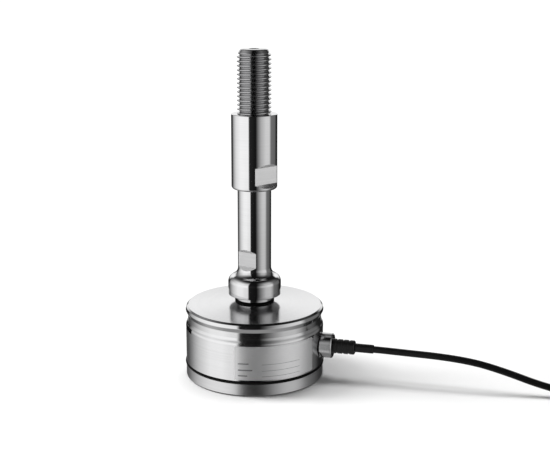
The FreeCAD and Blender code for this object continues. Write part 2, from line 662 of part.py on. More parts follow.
# shield can over the measuring circuit: a folded sheet box, open below
can = doc.addObject("Part::Box", "shield_outer")
can.setExpression("Length", "dims.shield_length")
can.setExpression("Width", "dims.shield_width")
can.setExpression("Height", "dims.shield_height")
can.setExpression("Placement.Base.x", "-dims.shield_length / 2 - 6")
can.setExpression("Placement.Base.y", "-dims.shield_width / 2")
can.setExpression("Placement.Base.z", "dims.board_top")
inside = doc.addObject("Part::Box", "shield_inner")
inside.setExpression("Length", "dims.shield_length - 0.8")
inside.setExpression("Width", "dims.shield_width - 0.8")
inside.setExpression("Height", "dims.shield_height - 0.4")
inside.setExpression("Placement.Base.x", "-dims.shield_length / 2 - 6 + 0.4")
inside.setExpression("Placement.Base.y", "-dims.shield_width / 2 + 0.4")
inside.setExpression("Placement.Base.z", "dims.board_top")
shield = doc.addObject("Part::Cut", "shield_can")
shield.Base, shield.Tool = can, inside
shield.Label = "shield_can"
parts.append(shield)

# packaged chips soldered to the board's underside
chips = []
for name, cx, cy, lx, ly, lz in (
        ("converter_chip", -7.0, 4.0, 10.0, 10.0, 1.4), ("memory_chip", 9.0, -9.0, 5.0, 4.0, 1.5),
        ("driver_chip", 12.0, 8.0, 6.0, 5.0, 1.5), ("crystal", -9.0, -11.0, 7.0, 3.2, 2.0),
        ("regulator", 20.0, -2.0, 6.5, 6.5, 2.2)):
    chip = doc.addObject("Part::Box", name)
    chip.Length, chip.Width, chip.Height = lx, ly, lz
    chip.Placement.Base = V(cx - lx / 2, cy - ly / 2, 0)
    chip.setExpression("Placement.Base.z", "dims.board_bottom - %r" % lz)
    chips.append(chip)
chip_group = doc.addObject("Part::Compound", "board_chips")
chip_group.Links = chips
chip_group.Label = "board_chips"
parts.append(chip_group)

# terminal block for the cable's inner lead
block = doc.addObject("Part::Box", "terminal_block_body")
block.setExpression("Length", "dims.terminal_length")
block.setExpression("Width", "dims.terminal_width")
block.setExpression("Height", "dims.terminal_height")
block.setExpression("Placement.Base.x", "dims.terminal_x")
block.setExpression("Placement.Base.y", "-dims.terminal_width / 2")
block.setExpression("Placement.Base.z", "dims.board_top")
doc.recompute()
terminal = doc.addObject("Part::Chamfer", "terminal_block")
terminal.Base = block
top = D("board_top").v + D("terminal_height").v
terminal.Edges = [(i, 0.5, 0.5) for i, e in enumerate(block.Shape.Edges, start=1)
                  if all(abs(v.Z - top) < 1e-6 for v in e.Vertexes)]
terminal.Label = "terminal_block"
parts.append(terminal)

lead = doc.addObject("Part::Cylinder", "inner_lead")
lead.setExpression("Radius", "dims.lead_radius")
lead.setExpression("Height", "dims.cable_start - dims.terminal_x - dims.terminal_length")
place(lead, V(D("terminal_x").v + D("terminal_length").v, 0, D("gland_height").v), V(0, 1, 0), 90)
parts.append(lead)

# ---------------------------------------------------------------- gland and cable
gland = new_body("gland_body")
turn(gland, "gland_turning", [
    (D("gland_cable_bore"), D("gland_spigot_start")), (D("gland_spigot_radius") - 0.6, D("gland_spigot_start")),
    (D("gland_spigot_radius"), D("gland_spigot_start") + 0.6),
    (D("gland_spigot_radius"), D("gland_start")), (D("gland_radius"), D("gland_start")),
    (D("gland_radius"), D("gland_end") - D("gland_bevel")),
    (D("gland_radius") - D("gland_bevel"), D("gland_end")),
    (D("gland_bore"), D("gland_end")), (D("gland_bore"), D("gland_bore_floor")),
    (D("gland_cable_bore"), D("gland_bore_floor"))])
along_gland(gland)
parts.append(gland)

washer = new_body("gland_washer")
turn(washer, "washer_ring", [
    (D("washer_inner"), D("gland_face")), (D("washer_outer"), D("gland_face")),
    (D("washer_outer"), D("gland_start")), (D("washer_inner"), D("gland_start"))])
along_gland(washer)
parts.append(washer)

grommet = new_body("gland_grommet")
turn(grommet, "grommet_ring", [
    (D("cable_bore"), D("grommet_start")), (D("gland_fill_radius") - 0.8, D("grommet_start")),
    (D("gland_fill_radius"), D("grommet_start") + 0.8), (D("gland_fill_radius"), D("grommet_end")),
    (D("cable_bore"), D("grommet_end"))])
along_gland(grommet)
parts.append(grommet)

ferrule = new_body("gland_ferrule")
turn(ferrule, "ferrule_ring", [
    (D("gland_cable_bore"), D("grommet_end")), (D("gland_fill_radius"), D("grommet_end")),
    (D("gland_fill_radius"), D("ferrule_end")), (D("gland_cable_bore"), D("ferrule_end"))])
along_gland(ferrule)
parts.append(ferrule)

# ribbed strain relief: its plain end sits in the gland, its ribs taper outwards
relief = new_body("strain_relief")
crest, valley = D("relief_crest"), D("relief_valley")
rib, step = D("relief_rib_start"), D("relief_rib_pitch")
profile = [
    (D("cable_bore"), D("ferrule_end")), (D("gland_fill_radius"), D("ferrule_end")),
    (D("gland_fill_radius"), D("gland_end")), (crest, D("gland_end")), (crest, rib)]
for i in range(3):
    low, high = valley - 0.05 * i, crest - 0.06 * (i + 1)
    stop = rib + step * (i + 1) if i < 2 else D("relief_end") - D("relief_round")
    profile += [
        (low, rib + step * i + 0.5), (low, rib + step * i + 1.1),
        (high, rib + step * i + 1.6), (high, stop)]
profile += [
    (crest - 0.18 - D("relief_round"), D("relief_end")), (D("cable_bore"), D("relief_end"))]
turn(relief, "relief_turning", profile)
along_gland(relief)
parts.append(relief)

shrink = new_body("cable_sleeve")
turn(shrink, "cable_sleeve_tube", [
    (D("cable_bore") + 0.1, D("relief_end")), (D("cable_sleeve_radius"), D("relief_end")),
    (D("cable_sleeve_radius"), D("cable_sleeve_end") - 0.3),
    (D("cable_sleeve_radius") - 0.3, D("cable_sleeve_end")), (D("cable_bore") + 0.1, D("cable_sleeve_end"))])
along_gland(shrink)
parts.append(shrink)

# the cable: straight runs joined by wide tangent arcs
route = [V(D("cable_start").v, 0, zg.v)] + [
    V(D(name + "_out").v, D(name + "_side").v, zg.v - D(name + "_drop").v)
    for name in ("bend_one", "bend_two", "bend_three", "bend_four",
                 "bend_five", "bend_six", "bend_seven", "bend_eight")]
edges, here, length = [], route[0], 0.0
for i in range(1, len(route) - 1):
    a = (route[i - 1] - route[i]).normalize()
    b = (route[i + 1] - route[i]).normalize()
    turn_angle = math.pi - a.getAngle(b)
    shorter = min((route[i + 1] - route[i]).Length, (route[i] - route[i - 1]).Length)
    setback = 0.45 * shorter
    radius = setback / math.tan(turn_angle / 2)
    p, q = route[i] + a * setback, route[i] + b * setback
    bisector = (a + b).normalize()
    middle = route[i] + bisector * (radius / math.cos(turn_angle / 2) - radius)
    edges += [Part.LineSegment(here, p).toShape(), Part.Arc(p, middle, q).toShape()]
    here = q
    print("cable bend %d: turn %.2f deg, radius %.0f mm" % (i, math.degrees(turn_angle), radius))
edges.append(Part.LineSegment(here, route[-1]).toShape())
spine = doc.addObject("Part::Feature", "cable_route")
spine.Shape = Part.Wire(edges)
section = doc.addObject("Part::Circle", "cable_section")
section.setExpression("Radius", "dims.cable_radius")
place(section, route[0], V(0, 1, 0), 90)
cable = doc.addObject("Part::Sweep", "cable")
cable.Sections = [section]
cable.Spine = (spine, [])
cable.Solid = True
cable.Frenet = False
cable.Label = "cable"
doc.recompute()
length = spine.Shape.Length
ideal = math.pi * D("cable_radius").v ** 2 * length
print("cable length %.2f mm, volume %.2f of %.2f mm3" % (length, cable.Shape.Volume, ideal))
if abs(cable.Shape.Volume - ideal) > 0.005 * ideal:
    raise RuntimeError("cable tube is not its section times its length")
parts.append(cable)


def rounded(x0, x1, y0, y1, r):
    """Corners of a rectangle with round corners, for outline()."""
    bend = Arc(r, -1)
    return [(x0 + r, y0), (x1 - r, y0), bend, (x1, y0 + r), (x1, y1 - r), bend,
            (x1 - r, y1), (x0 + r, y1), bend, (x0, y1 - r), (x0, y0 + r), bend]


# the spare length, wound flat on the floor: the ring that its turns fill
coil = new_body("cable_coil")
turn(coil, "coil_ring", rounded(
    D("coil_inner"), D("coil_outer"), D("coil_low"), D("coil_high"), D("coil_round")))
place(coil, V(D("coil_out").v, D("coil_side").v, 0))
parts.append(coil)

# a flat strap round the coil's turns
tie = new_body("cable_tie")
sk = new_sketch(tie, "tie_outline")
wall = D("tie_thickness")
outline(sk, rounded(D("tie_inner") - wall, D("tie_outer") + wall, D("tie_low") - wall,
                    D("tie_high") + wall, D("coil_round") + wall))
outline(sk, rounded(D("tie_inner"), D("tie_outer"), D("tie_low"), D("tie_high"), D("coil_round")))
band = tie.newObject("PartDesign::Pad", "tie_band")
band.Profile = sk
band.Length = D("tie_width").v
band.setExpression("Length", "dims.tie_width")
if hasattr(band, "SideType"):
    band.SideType = "Symmetric"
else:
    band.Midplane = True
doc.recompute()
place(tie, V(D("coil_out").v, D("coil_side").v, 0), angle=D("tie_angle").v)
parts.append(tie)

# ---------------------------------------------------------------- spindle
spindle = new_body("spindle")
turned = turn(spindle, "spindle_turning", [
    (ZERO, D("bearing_roof")), (D("bearing_bore"), D("bearing_roof")),
    (D("bearing_bore"), D("ring_groove_high")), (D("ring_groove_radius"), D("ring_groove_high")),
    (D("ring_groove_radius"), D("ring_groove_low")), (D("bearing_bore"), D("ring_groove_low")),
    (D("bearing_bore"), D("collar_bottom")), (D("collar_foot"), D("collar_bottom")),
    (D("collar_foot"), D("collar_low")),
    (D("collar_radius"), D("collar_low")), (D("collar_radius"), D("collar_high")),
    Arc(D("dome_radius"), -1), (D("dome_end_radius"), D("dome_end_height")),
    Arc(D("neck_fillet"), 1), (D("rod_radius"), D("neck_fillet_top")),
    # the sleeve runs on the lower thread, a little under the free stud's crest
    (D("rod_radius"), D("thread_start")), (D("run_radius"), D("thread_start") + 0.5),
    (D("run_radius"), D("stud_start")), (D("rod_radius"), D("stud_start")),
    (D("rod_radius"), D("stud_chamfer_low")), (D("stud_tip_radius"), D("stud_top")),
    (D("centre_radius"), D("stud_top")), (D("pilot_radius"), D("centre_floor")),
    (D("pilot_radius"), D("pilot_floor")), (ZERO, D("pilot_tip"))])
edge = round_edges(spindle, "collar_edge", turned, [
    (D("collar_radius"), D("collar_low"))], Size(0.5, "0.5"))
before = spindle.Shape.Volume
flat = through_cut(spindle, "spanner_flat", [
    (D("rod_flat"), D("rod_flat_low")), (D("rod_flat_reach"), D("rod_flat_low") - D("rod_flat_slope")),
    (D("rod_flat_reach"), D("rod_flat_high") + D("rod_flat_slope")), (D("rod_flat"), D("rod_flat_high"))],
    D("rod_radius") * 4.0)
must_shrink(spindle, before, "rod flat")
around(spindle, "spanner_flats", [flat], 2)
place(spindle, angle=D("spindle_angle").v)
parts.append(spindle)

# hardened pad in the roof of the spindle's bearing bore
pad = new_body("thrust_pad")
turn(pad, "pad_disc", [
    (ZERO, D("pad_bottom")), (D("pad_radius") - 0.5, D("pad_bottom")),
    (D("pad_radius"), D("pad_bottom") + 0.5), (D("pad_radius"), D("bearing_roof")),
    (ZERO, D("bearing_roof"))])
parts.append(pad)

ring = doc.addObject("Part::Torus", "spindle_o_ring")
ring.Label = "spindle_o_ring"
ring.setExpression("Radius1", "dims.spindle_ring_radius")
ring.setExpression("Radius2", "dims.spindle_ring_section")
ring.setExpression("Placement.Base.z", "dims.spindle_ring_height")
parts.append(ring)

# ---------------------------------------------------------------- locking sleeve
sleeve = new_body("locking_sleeve")
bore, outer = D("sleeve_bore"), D("sleeve_radius")
low, high = D("sleeve_bottom"), D("sleeve_top")
turn(sleeve, "sleeve_turning", [
    (bore, low), (outer - D("sleeve_round"), low), Arc(D("sleeve_round"), -1),
    (outer, low + D("sleeve_round")), (outer, high - D("sleeve_chamfer")),
    (outer - D("sleeve_chamfer"), high), (bore + D("bore_chamfer"), high),
    (bore, high - D("bore_chamfer")), (bore, D("sleeve_groove_high")),
    (D("sleeve_groove"), D("sleeve_groove_high")), (D("sleeve_groove"), D("sleeve_groove_low")),
    (bore, D("sleeve_groove_low"))])
before = sleeve.Shape.Volume
flat = through_cut(sleeve, "sleeve_flat_cut", [
    (D("sleeve_flat"), D("sleeve_flat_low")),
    (D("sleeve_flat_reach"), D("sleeve_flat_low") - D("sleeve_flat_slope")),
    (D("sleeve_flat_reach"), D("sleeve_flat_high") + D("sleeve_flat_slope")),
    (D("sleeve_flat"), D("sleeve_flat_high"))], outer * 4.0)
must_shrink(sleeve, before, "sleeve flat")
around(sleeve, "sleeve_flats", [flat], 2)
place(sleeve, angle=D("sleeve_angle").v)
parts.append(sleeve)

ring = doc.addObject("Part::Torus", "sleeve_o_ring")
ring.Label = "sleeve_o_ring"
ring.setExpression("Radius1", "dims.sleeve_ring_radius")
ring.setExpression("Radius2", "dims.sleeve_ring_section")
ring.setExpression("Placement.Base.z", "dims.sleeve_ring_height")
parts.append(ring)

# ---------------------------------------------------------------- check and write
doc.recompute()
failed = [o.Name for o in doc.Objects if {"Invalid", "Error"} & set(o.State)]
if failed:
    raise RuntimeError("failed objects: %s" % ", ".join(failed))
for part in parts:
    if part.Shape.isNull() or not part.Shape.isValid() or not part.Shape.Solids:
        raise RuntimeError("bad shape: %s" % part.Label)
for part in parts:
    part.Shape.exportStep("parts/%s.step" % part.Label)
    box = part.Shape.BoundBox
    print("%-16s %2d solid(s) %11.1f mm3  x %.1f..%.1f  y %.1f..%.1f  z %.1f..%.1f" % (
        part.Label, len(part.Shape.Solids), part.Shape.Volume, box.XMin, box.XMax,
        box.YMin, box.YMax, box.ZMin, box.ZMax))
print("%d pieces" % len(parts))
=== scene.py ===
import math

import bmesh
import bpy
from mathutils import Matrix, Vector


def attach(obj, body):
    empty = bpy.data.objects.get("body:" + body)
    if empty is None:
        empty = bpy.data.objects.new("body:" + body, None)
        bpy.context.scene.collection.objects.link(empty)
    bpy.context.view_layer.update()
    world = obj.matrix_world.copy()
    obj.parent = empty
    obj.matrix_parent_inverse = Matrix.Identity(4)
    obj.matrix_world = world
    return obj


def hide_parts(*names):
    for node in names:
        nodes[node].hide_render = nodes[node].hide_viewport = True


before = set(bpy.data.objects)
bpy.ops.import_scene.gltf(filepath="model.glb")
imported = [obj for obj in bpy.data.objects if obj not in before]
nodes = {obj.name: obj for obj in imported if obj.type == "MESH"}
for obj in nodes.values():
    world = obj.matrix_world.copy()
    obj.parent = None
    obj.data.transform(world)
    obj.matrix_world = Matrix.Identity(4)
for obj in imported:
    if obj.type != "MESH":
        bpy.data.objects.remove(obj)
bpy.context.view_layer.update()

MM = 0.001
scene = bpy.context.scene


# ---------------------------------------------------------------- camera

CAM_AZIMUTH = 15.5        # degrees round the object, towards +X
CAM_YAW = 1.10            # degrees off the object's axis
CAM_PITCH = 13.7          # degrees down
CAM_ROLL = 0.13
CAM_DISTANCE = 763.6      # mm, level
CAM_HEIGHT = 296.9


def make_camera():
    data = bpy.data.cameras.new("camera")
    data.sensor_fit = "HORIZONTAL"
    data.sensor_width = 36.0
    data.lens = 72.0
    data.clip_start = 0.01
    data.clip_end = 200.0
    cam = bpy.data.objects.new("camera", data)
    scene.collection.objects.link(cam)
    a = math.radians(CAM_AZIMUTH)
    h = math.radians(-CAM_AZIMUTH + CAM_YAW)
    p = math.radians(CAM_PITCH)
    ahead = Vector((math.sin(h), math.cos(h), 0.0))
    right = Vector((math.cos(h), -math.sin(h), 0.0))
    look = ahead * math.cos(p) - Vector((0, 0, 1)) * math.sin(p)
    up = ahead * math.sin(p) + Vector((0, 0, 1)) * math.cos(p)
    turn = Matrix((right, up, -look)).transposed()
    turn = turn @ Matrix.Rotation(math.radians(CAM_ROLL), 3, "Z")
    place = Vector((CAM_DISTANCE * math.sin(a), -CAM_DISTANCE * math.cos(a), CAM_HEIGHT)) * MM
    cam.matrix_world = Matrix.Translation(place) @ turn.to_4x4()
    scene.camera = cam
    return cam


make_camera()


# ---------------------------------------------------------------- material helpers


class Tree:
    """A node tree with short calls for the few node kinds used here."""

    def __init__(self, tree):
        self.tree = tree
        self.nodes = tree.nodes
        self.links = tree.links

    def new(self, kind, **settings):
        n = self.nodes.new(kind)
        for k, v in settings.items():
            setattr(n, k, v)
        return n

    def put(self, socket, value):
        if isinstance(value, bpy.types.NodeSocket):
            self.links.new(value, socket)
        else:
            socket.default_value = value

    def math(self, operation, a, b=None, c=None, clamp=False):
        n = self.new("ShaderNodeMath", operation=operation)
        n.use_clamp = clamp
        for i, v in enumerate((a, b, c)):
            if v is not None:
                self.put(n.inputs[i], v)
        return n.outputs[0]

    def span(self, value, lo, hi, to_lo, to_hi, smooth=False):
        n = self.new("ShaderNodeMapRange")
        n.interpolation_type = "SMOOTHSTEP" if smooth else "LINEAR"
        n.clamp = True
        self.put(n.inputs["Value"], value)
        for k, v in (("From Min", lo), ("From Max", hi), ("To Min", to_lo), ("To Max", to_hi)):
            n.inputs[k].default_value = v
        return n.outputs["Result"]

    def noise(self, vector, scale, detail=2.0, rough=0.5, distortion=0.0):
        n = self.new("ShaderNodeTexNoise")
        self.put(n.inputs["Vector"], vector)
        n.inputs["Scale"].default_value = scale
        n.inputs["Detail"].default_value = detail
        n.inputs["Roughness"].default_value = rough
        n.inputs["Distortion"].default_value = distortion
        return n.outputs["Fac"]

    def xyz(self, x, y, z):
        n = self.new("ShaderNodeCombineXYZ")
        for i, v in enumerate((x, y, z)):
            self.put(n.inputs[i], v)
        return n.outputs[0]

    def mix(self, fac, a, b):
        n = self.new("ShaderNodeMix", data_type="RGBA")
        self.put(n.inputs[0], fac)
        for socket, v in ((n.inputs[6], a), (n.inputs[7], b)):
            self.put(socket, v)
        return n.outputs[2]

    def bump(self, height, strength, distance):
        n = self.new("ShaderNodeBump")
        n.inputs["Strength"].default_value = strength
        n.inputs["Distance"].default_value = distance
        self.put(n.inputs["Height"], height)
        return n.outputs["Normal"]

    def position(self):
        n = self.new("ShaderNodeTexCoord")
        s = self.new("ShaderNodeSeparateXYZ")
        self.links.new(n.outputs["Object"], s.inputs[0])
        return n.outputs["Object"], s.outputs[0], s.outputs[1], s.outputs[2]


def grey(v):
    return (v, v, v, 1.0)


def material(name):
    m = bpy.data.materials.new(name)
    m.use_nodes = True
    t = Tree(m.node_tree)
    shader = next(n for n in t.nodes if n.type == "BSDF_PRINCIPLED")
    return m, t, shader


def around(t, axis, offset=(0.0, 0.0, 0.0)):
    """(vector, radius, height along the axis, angle) about an axis parallel to X or Z through offset."""
    vector, x, y, z = t.position()
    if axis == "X":
        along = x
        u = t.math("SUBTRACT", y, offset[1])
        v = t.math("SUBTRACT", z, offset[2])
    else:
        along = z
        u, v = x, y
    radius = t.math("SQRT", t.math("ADD", t.math("MULTIPLY", u, u), t.math("MULTIPLY", v, v)))
    angle = t.math("ARCTAN2", v, u)
    return vector, radius, along, angle


def turned_steel(name, tone, rough, aniso, axis="Z", offset=(0, 0, 0), rings=1500.0,
                 bump=0.05, smudge=0.05, streak=0.35, edge_wear=0.0):
    """Turned and polished stainless: fine rings round the axis, faint smudges, short polishing scratches."""
    m, t, s = material(name)
    vector, radius, along, angle = around(t, axis, offset)
    ring_at = t.xyz(t.math("MULTIPLY", radius, 1.0), t.math("MULTIPLY", along, 1.0),
                    t.math("MULTIPLY", angle, 0.00012))
    ring = t.noise(ring_at, rings, 3.0, 0.62)
    fine = t.noise(ring_at, rings * 3.7, 2.0, 0.6)
    scratch_at = t.xyz(t.math("MULTIPLY", radius, 1.0), t.math("MULTIPLY", along, 1.0),
                       t.math("MULTIPLY", angle, 0.0022))
    scratch = t.span(t.noise(scratch_at, rings * 1.6, 2.0, 0.5), 0.60, 0.74, 0.0, 1.0)
    cloud = t.noise(vector, 42.0, 4.0, 0.55, 0.4)
    speck = t.noise(vector, 420.0, 3.0, 0.6)
    shade = t.math("ADD", t.math("MULTIPLY", ring, 0.55), t.math("MULTIPLY", cloud, 0.45))
    shade = t.span(shade, 0.32, 0.68, 0.0, 1.0)
    low = tuple(c * (1.0 - 0.09) for c in tone)
    t.put(s.inputs["Base Color"], t.mix(shade, (*low, 1.0), (*tone, 1.0)))
    s.inputs["Metallic"].default_value = 1.0
    wear = t.math("ADD", t.math("MULTIPLY", t.math("SUBTRACT", cloud, 0.5), smudge * 2.0),
                  t.math("MULTIPLY", t.math("SUBTRACT", speck, 0.5), smudge * 0.9))
    wear = t.math("ADD", wear, t.math("MULTIPLY", scratch, smudge * streak))
    wear = t.math("ADD", wear, t.math("MULTIPLY", t.math("SUBTRACT", fine, 0.5), smudge * 0.6))
    t.put(s.inputs["Roughness"], t.math("MAXIMUM", t.math("ADD", wear, rough), 0.03))
    s.inputs["Anisotropic"].default_value = aniso
    s.inputs["Anisotropic Rotation"].default_value = 0.25
    tangent = t.new("ShaderNodeTangent", direction_type="RADIAL", axis=axis)
    t.links.new(tangent.outputs[0], s.inputs["Tangent"])
    height = t.math("ADD", ring, t.math("MULTIPLY", fine, 0.4))
    height = t.math("SUBTRACT", height, t.math("MULTIPLY", scratch, 0.25))
    t.put(s.inputs["Normal"], t.bump(height, bump, 0.00006))
    return m


def plain_metal(name, tone, rough, scale=900.0, spread=0.10, bump=0.08, patina=None):
    """Machined or plated metal with grain, handling marks and a little colour change."""
    m, t, s = material(name)
    vector, x, y, z = t.position()
    grain = t.noise(vector, scale, 4.0, 0.6)
    cloud = t.noise(vector, scale * 0.06, 3.0, 0.55, 0.3)
    low = tuple(c * (1.0 - spread) for c in (patina or tone))
    fac = t.span(t.math("ADD", t.math("MULTIPLY", grain, 0.4), t.math("MULTIPLY", cloud, 0.6)), 0.34, 0.66, 0.0, 1.0)
    t.put(s.inputs["Base Color"], t.mix(fac, (*low, 1.0), (*tone, 1.0)))
    s.inputs["Metallic"].default_value = 1.0
    t.put(s.inputs["Roughness"], t.span(grain, 0.25, 0.75, rough * 0.8, rough * 1.25))
    t.put(s.inputs["Normal"], t.bump(grain, bump, 0.00008))
    return m


def moulded(name, tone, low, rough, scale=2600.0, spread=0.35, bump=0.18, specular=0.5, distance=0.00006, dust=0.0):
    """Moulded plastic or rubber: fine pebble, uneven gloss, a trace of dust."""
    m, t, s = material(name)
    vector, x, y, z = t.position()
    pebble = t.noise(vector, scale, 3.0, 0.55)
    cloud = t.noise(vector, scale * 0.03, 4.0, 0.6, 0.5)
    speck = t.span(t.noise(vector, scale * 0.45, 3.0, 0.7), 0.62, 0.80, 0.0, dust)
    fac = t.span(t.math("ADD", t.math("MULTIPLY", pebble, 0.35), t.math("MULTIPLY", cloud, 0.65)), 0.32, 0.68, 0.0, 1.0)
    colour = t.mix(fac, (*low, 1.0), (*tone, 1.0))
    if dust:
        colour = t.mix(speck, colour, grey(0.28))
    t.put(s.inputs["Base Color"], colour)
    t.put(s.inputs["Roughness"], t.span(t.math("ADD", t.math("MULTIPLY", pebble, 0.4), t.math("MULTIPLY", cloud, 0.6)),
                                        0.3, 0.7, rough * (1 - spread * 0.5), rough * (1 + spread * 0.5)))
    s.inputs["Specular IOR Level"].default_value = specular
    t.put(s.inputs["Normal"], t.bump(pebble, bump, distance))
    return m


def milled_steel(name, tone, rough, turn, metal=1.0):
    """Milled flat: straight cutter marks across it, a coarse lay and a few deeper lines."""
    m, t, s = material(name)
    vector, x, y, z = t.position()
    c, k = math.cos(math.radians(turn)), math.sin(math.radians(turn))
    across = t.math("SUBTRACT", t.math("MULTIPLY", y, c), t.math("MULTIPLY", x, k))
    at = t.xyz(t.math("MULTIPLY", across, 0.03), z, 0.0)
    marks = t.noise(at, 2600.0, 3.0, 0.6)
    lay = t.noise(at, 700.0, 2.0, 0.5)
    cloud = t.noise(vector, 120.0, 3.0, 0.5, 0.3)
    fac = t.math("ADD", t.math("MULTIPLY", marks, 0.4), t.math("ADD", t.math("MULTIPLY", lay, 0.35),
                                                              t.math("MULTIPLY", cloud, 0.25)))
    fac = t.span(fac, 0.34, 0.66, 0.0, 1.0)
    low = tuple(v * 0.86 for v in tone)
    t.put(s.inputs["Base Color"], t.mix(fac, (*low, 1.0), (*tone, 1.0)))
    s.inputs["Metallic"].default_value = metal
    t.put(s.inputs["Roughness"], t.span(marks, 0.25, 0.75, rough * 0.85, rough * 1.15))
    t.put(s.inputs["Normal"], t.bump(t.math("ADD", marks, lay), 0.12, 0.00006))
    return m


def label_metal(name):
    """Etched foil plate: satin grain along the plate, a fine frame line, ruled blank fields."""
    m, t, s = material(name)
    vector, radius, height, angle = around(t, "Z")
    grain_at = t.xyz(t.math("MULTIPLY", angle, 0.0026), height, 0.0)
    grain = t.noise(grain_at, 4200.0, 3.0, 0.6)
    cloud = t.noise(vector, 60.0, 3.0, 0.5, 0.2)
    z_mm = t.math("MULTIPLY", height, 1000.0)
    a_deg = t.math("MULTIPLY", angle, 180.0 / math.pi)

    def line(value, at, half):
        return t.math("LESS_THAN", t.math("ABSOLUTE", t.math("SUBTRACT", value, at)), half)

    def between(value, lo, hi):
        return t.math("MULTIPLY", t.math("GREATER_THAN", value, lo), t.math("LESS_THAN", value, hi))

    ink = None

    def add(part):
        nonlocal ink
        ink = part if ink is None else t.math("MAXIMUM", ink, part)

    for z0 in (23.6, 19.0, 14.9):
        add(t.math("MULTIPLY", line(z_mm, z0, 0.12), between(a_deg, -69.0, -36.0)))
    for z0, a0, a1 in ((24.2, -88.0, -79.5), (19.6, -88.0, -76.5), (15.5, -88.0, -80.5)):
        add(t.math("MULTIPLY", line(z_mm, z0, 0.45), between(a_deg, a0, a1)))
    frame_line = t.math("MAXIMUM",
                        t.math("MAXIMUM", line(z_mm, 36.0, 0.07), line(z_mm, 12.9, 0.07)),
                        t.math("MAXIMUM", line(a_deg, -90.2, 0.09), line(a_deg, -21.6, 0.09)))
    inside = t.math("MULTIPLY", between(z_mm, 12.8, 36.1), between(a_deg, -90.3, -21.5))
    add(t.math("MULTIPLY", t.math("MULTIPLY", frame_line, inside), 0.45))
    fac = t.span(t.math("ADD", t.math("MULTIPLY", grain, 0.6), t.math("MULTIPLY", cloud, 0.4)), 0.35, 0.65, 0.0, 1.0)
    base = t.mix(fac, (0.83, 0.83, 0.835, 1), (0.93, 0.93, 0.935, 1))
    t.put(s.inputs["Base Color"], t.mix(t.math("MULTIPLY", ink, 0.8), base, (0.035, 0.035, 0.037, 1)))
    t.put(s.inputs["Metallic"], t.span(t.math("ADD", ink, t.math("MULTIPLY", cloud, 0.1)), 0.03, 1.0, 0.76, 0.20))
    t.put(s.inputs["Roughness"], t.span(grain, 0.25, 0.75, 0.30, 0.40))
    t.put(s.inputs["Normal"], t.bump(t.math("SUBTRACT", grain, t.math("MULTIPLY", ink, 0.5)), 0.10, 0.00005))
    return m


def board_green(name):
    """Solder-masked laminate: woven glass showing through, tracks, plated pads."""
    m, t, s = material(name)
    vector, x, y, z = t.position()
    weave_x = t.math("SINE", t.math("MULTIPLY", x, 7200.0))
    weave_y = t.math("SINE", t.math("MULTIPLY", y, 7200.0))
    weave = t.math("MULTIPLY", weave_x, weave_y)
    track = t.math("MULTIPLY", t.math("GREATER_THAN", t.math("SINE", t.math("MULTIPLY", x, 2300.0)), 0.55),
                   t.math("GREATER_THAN", t.noise(vector, 170.0, 1.0, 0.4), 0.5))
    fac = t.span(weave, -1.0, 1.0, 0.25, 0.75)
    base = t.mix(fac, (0.008, 0.075, 0.030, 1), (0.014, 0.110, 0.045, 1))
    t.put(s.inputs["Base Color"], t.mix(track, base, (0.045, 0.20, 0.075, 1)))
    t.put(s.inputs["Roughness"], t.span(t.noise(vector, 600.0, 2.0), 0.3, 0.7, 0.28, 0.42))
    t.put(s.inputs["Normal"], t.bump(t.math("ADD", t.math("MULTIPLY", weave, 0.3), track), 0.12, 0.00004))
    return m


STEEL = (0.735, 0.735, 0.74)
M = {}
M["spindle"] = turned_steel("steel_spindle", STEEL, 0.065, 0.30, bump=0.03, smudge=0.025, rings=1700.0)
M["sleeve"] = turned_steel("steel_sleeve", STEEL, 0.065, 0.30, bump=0.03, smudge=0.025, rings=1900.0)
M["stud"] = turned_steel("steel_stud", (0.47, 0.47, 0.475), 0.17, 0.20, bump=0.05, smudge=0.07, rings=1500.0)
M["body"] = turned_steel("steel_body", STEEL, 0.135, 0.55, bump=0.045, smudge=0.045, rings=1300.0)
M["crown"] = turned_steel("steel_crown", (0.66, 0.66, 0.665), 0.17, 0.65, bump=0.05, smudge=0.05, rings=1200.0)
M["base"] = turned_steel("steel_base", (0.67, 0.67, 0.675), 0.33, 0.55, bump=0.07, smudge=0.06, rings=1100.0)
M["gland"] = turned_steel("steel_gland", (0.50, 0.50, 0.505), 0.13, 0.4, axis="X", offset=(0, 0, 0.025),
                          bump=0.06, smudge=0.06, rings=1800.0)
M["rod_flat"] = milled_steel("milled_spindle", (0.63, 0.63, 0.635), 0.45, -107.5)
M["ramp"] = milled_steel("milled_run_out", (0.74, 0.74, 0.745), 0.58, -107.5, 0.62)
# painted shade: a dark steel laid on the collar's underside, the stud's centre hole, the slot's inside and the base's
# bottom chamfer, standing in for the shade there
M["edge"] = turned_steel("steel_edge", (0.22, 0.22, 0.223), 0.42, 0.3, bump=0.08, smudge=0.08, rings=900.0)
M["rim"] = turned_steel("steel_rim", STEEL, 0.075, 0.30, bump=0.03, smudge=0.03, rings=1500.0)
M["sleeve_flat"] = milled_steel("milled_sleeve", (0.97, 0.97, 0.972), 0.34, -35.6)
M["label"] = label_metal("label_foil")
M["rubber"] = moulded("black_rubber_seal", (0.006, 0.006, 0.006), (0.003, 0.003, 0.003), 0.70, 1900.0, bump=0.25,
                      specular=0.10)
M["relief"] = moulded("black_relief", (0.005, 0.005, 0.005), (0.0025, 0.0025, 0.0025), 0.36, 2400.0, bump=0.16,
                      specular=0.42, dust=0.03)
M["shrink"] = moulded("black_shrink", (0.005, 0.005, 0.005), (0.0025, 0.0025, 0.0025), 0.36, 1500.0, bump=0.14,
                      specular=0.34, dust=0.02)
M["jacket"] = moulded("cable_jacket", (0.005, 0.005, 0.005), (0.0028, 0.0028, 0.0028), 0.34, 2200.0, bump=0.12,
                      specular=0.34, dust=0.02)
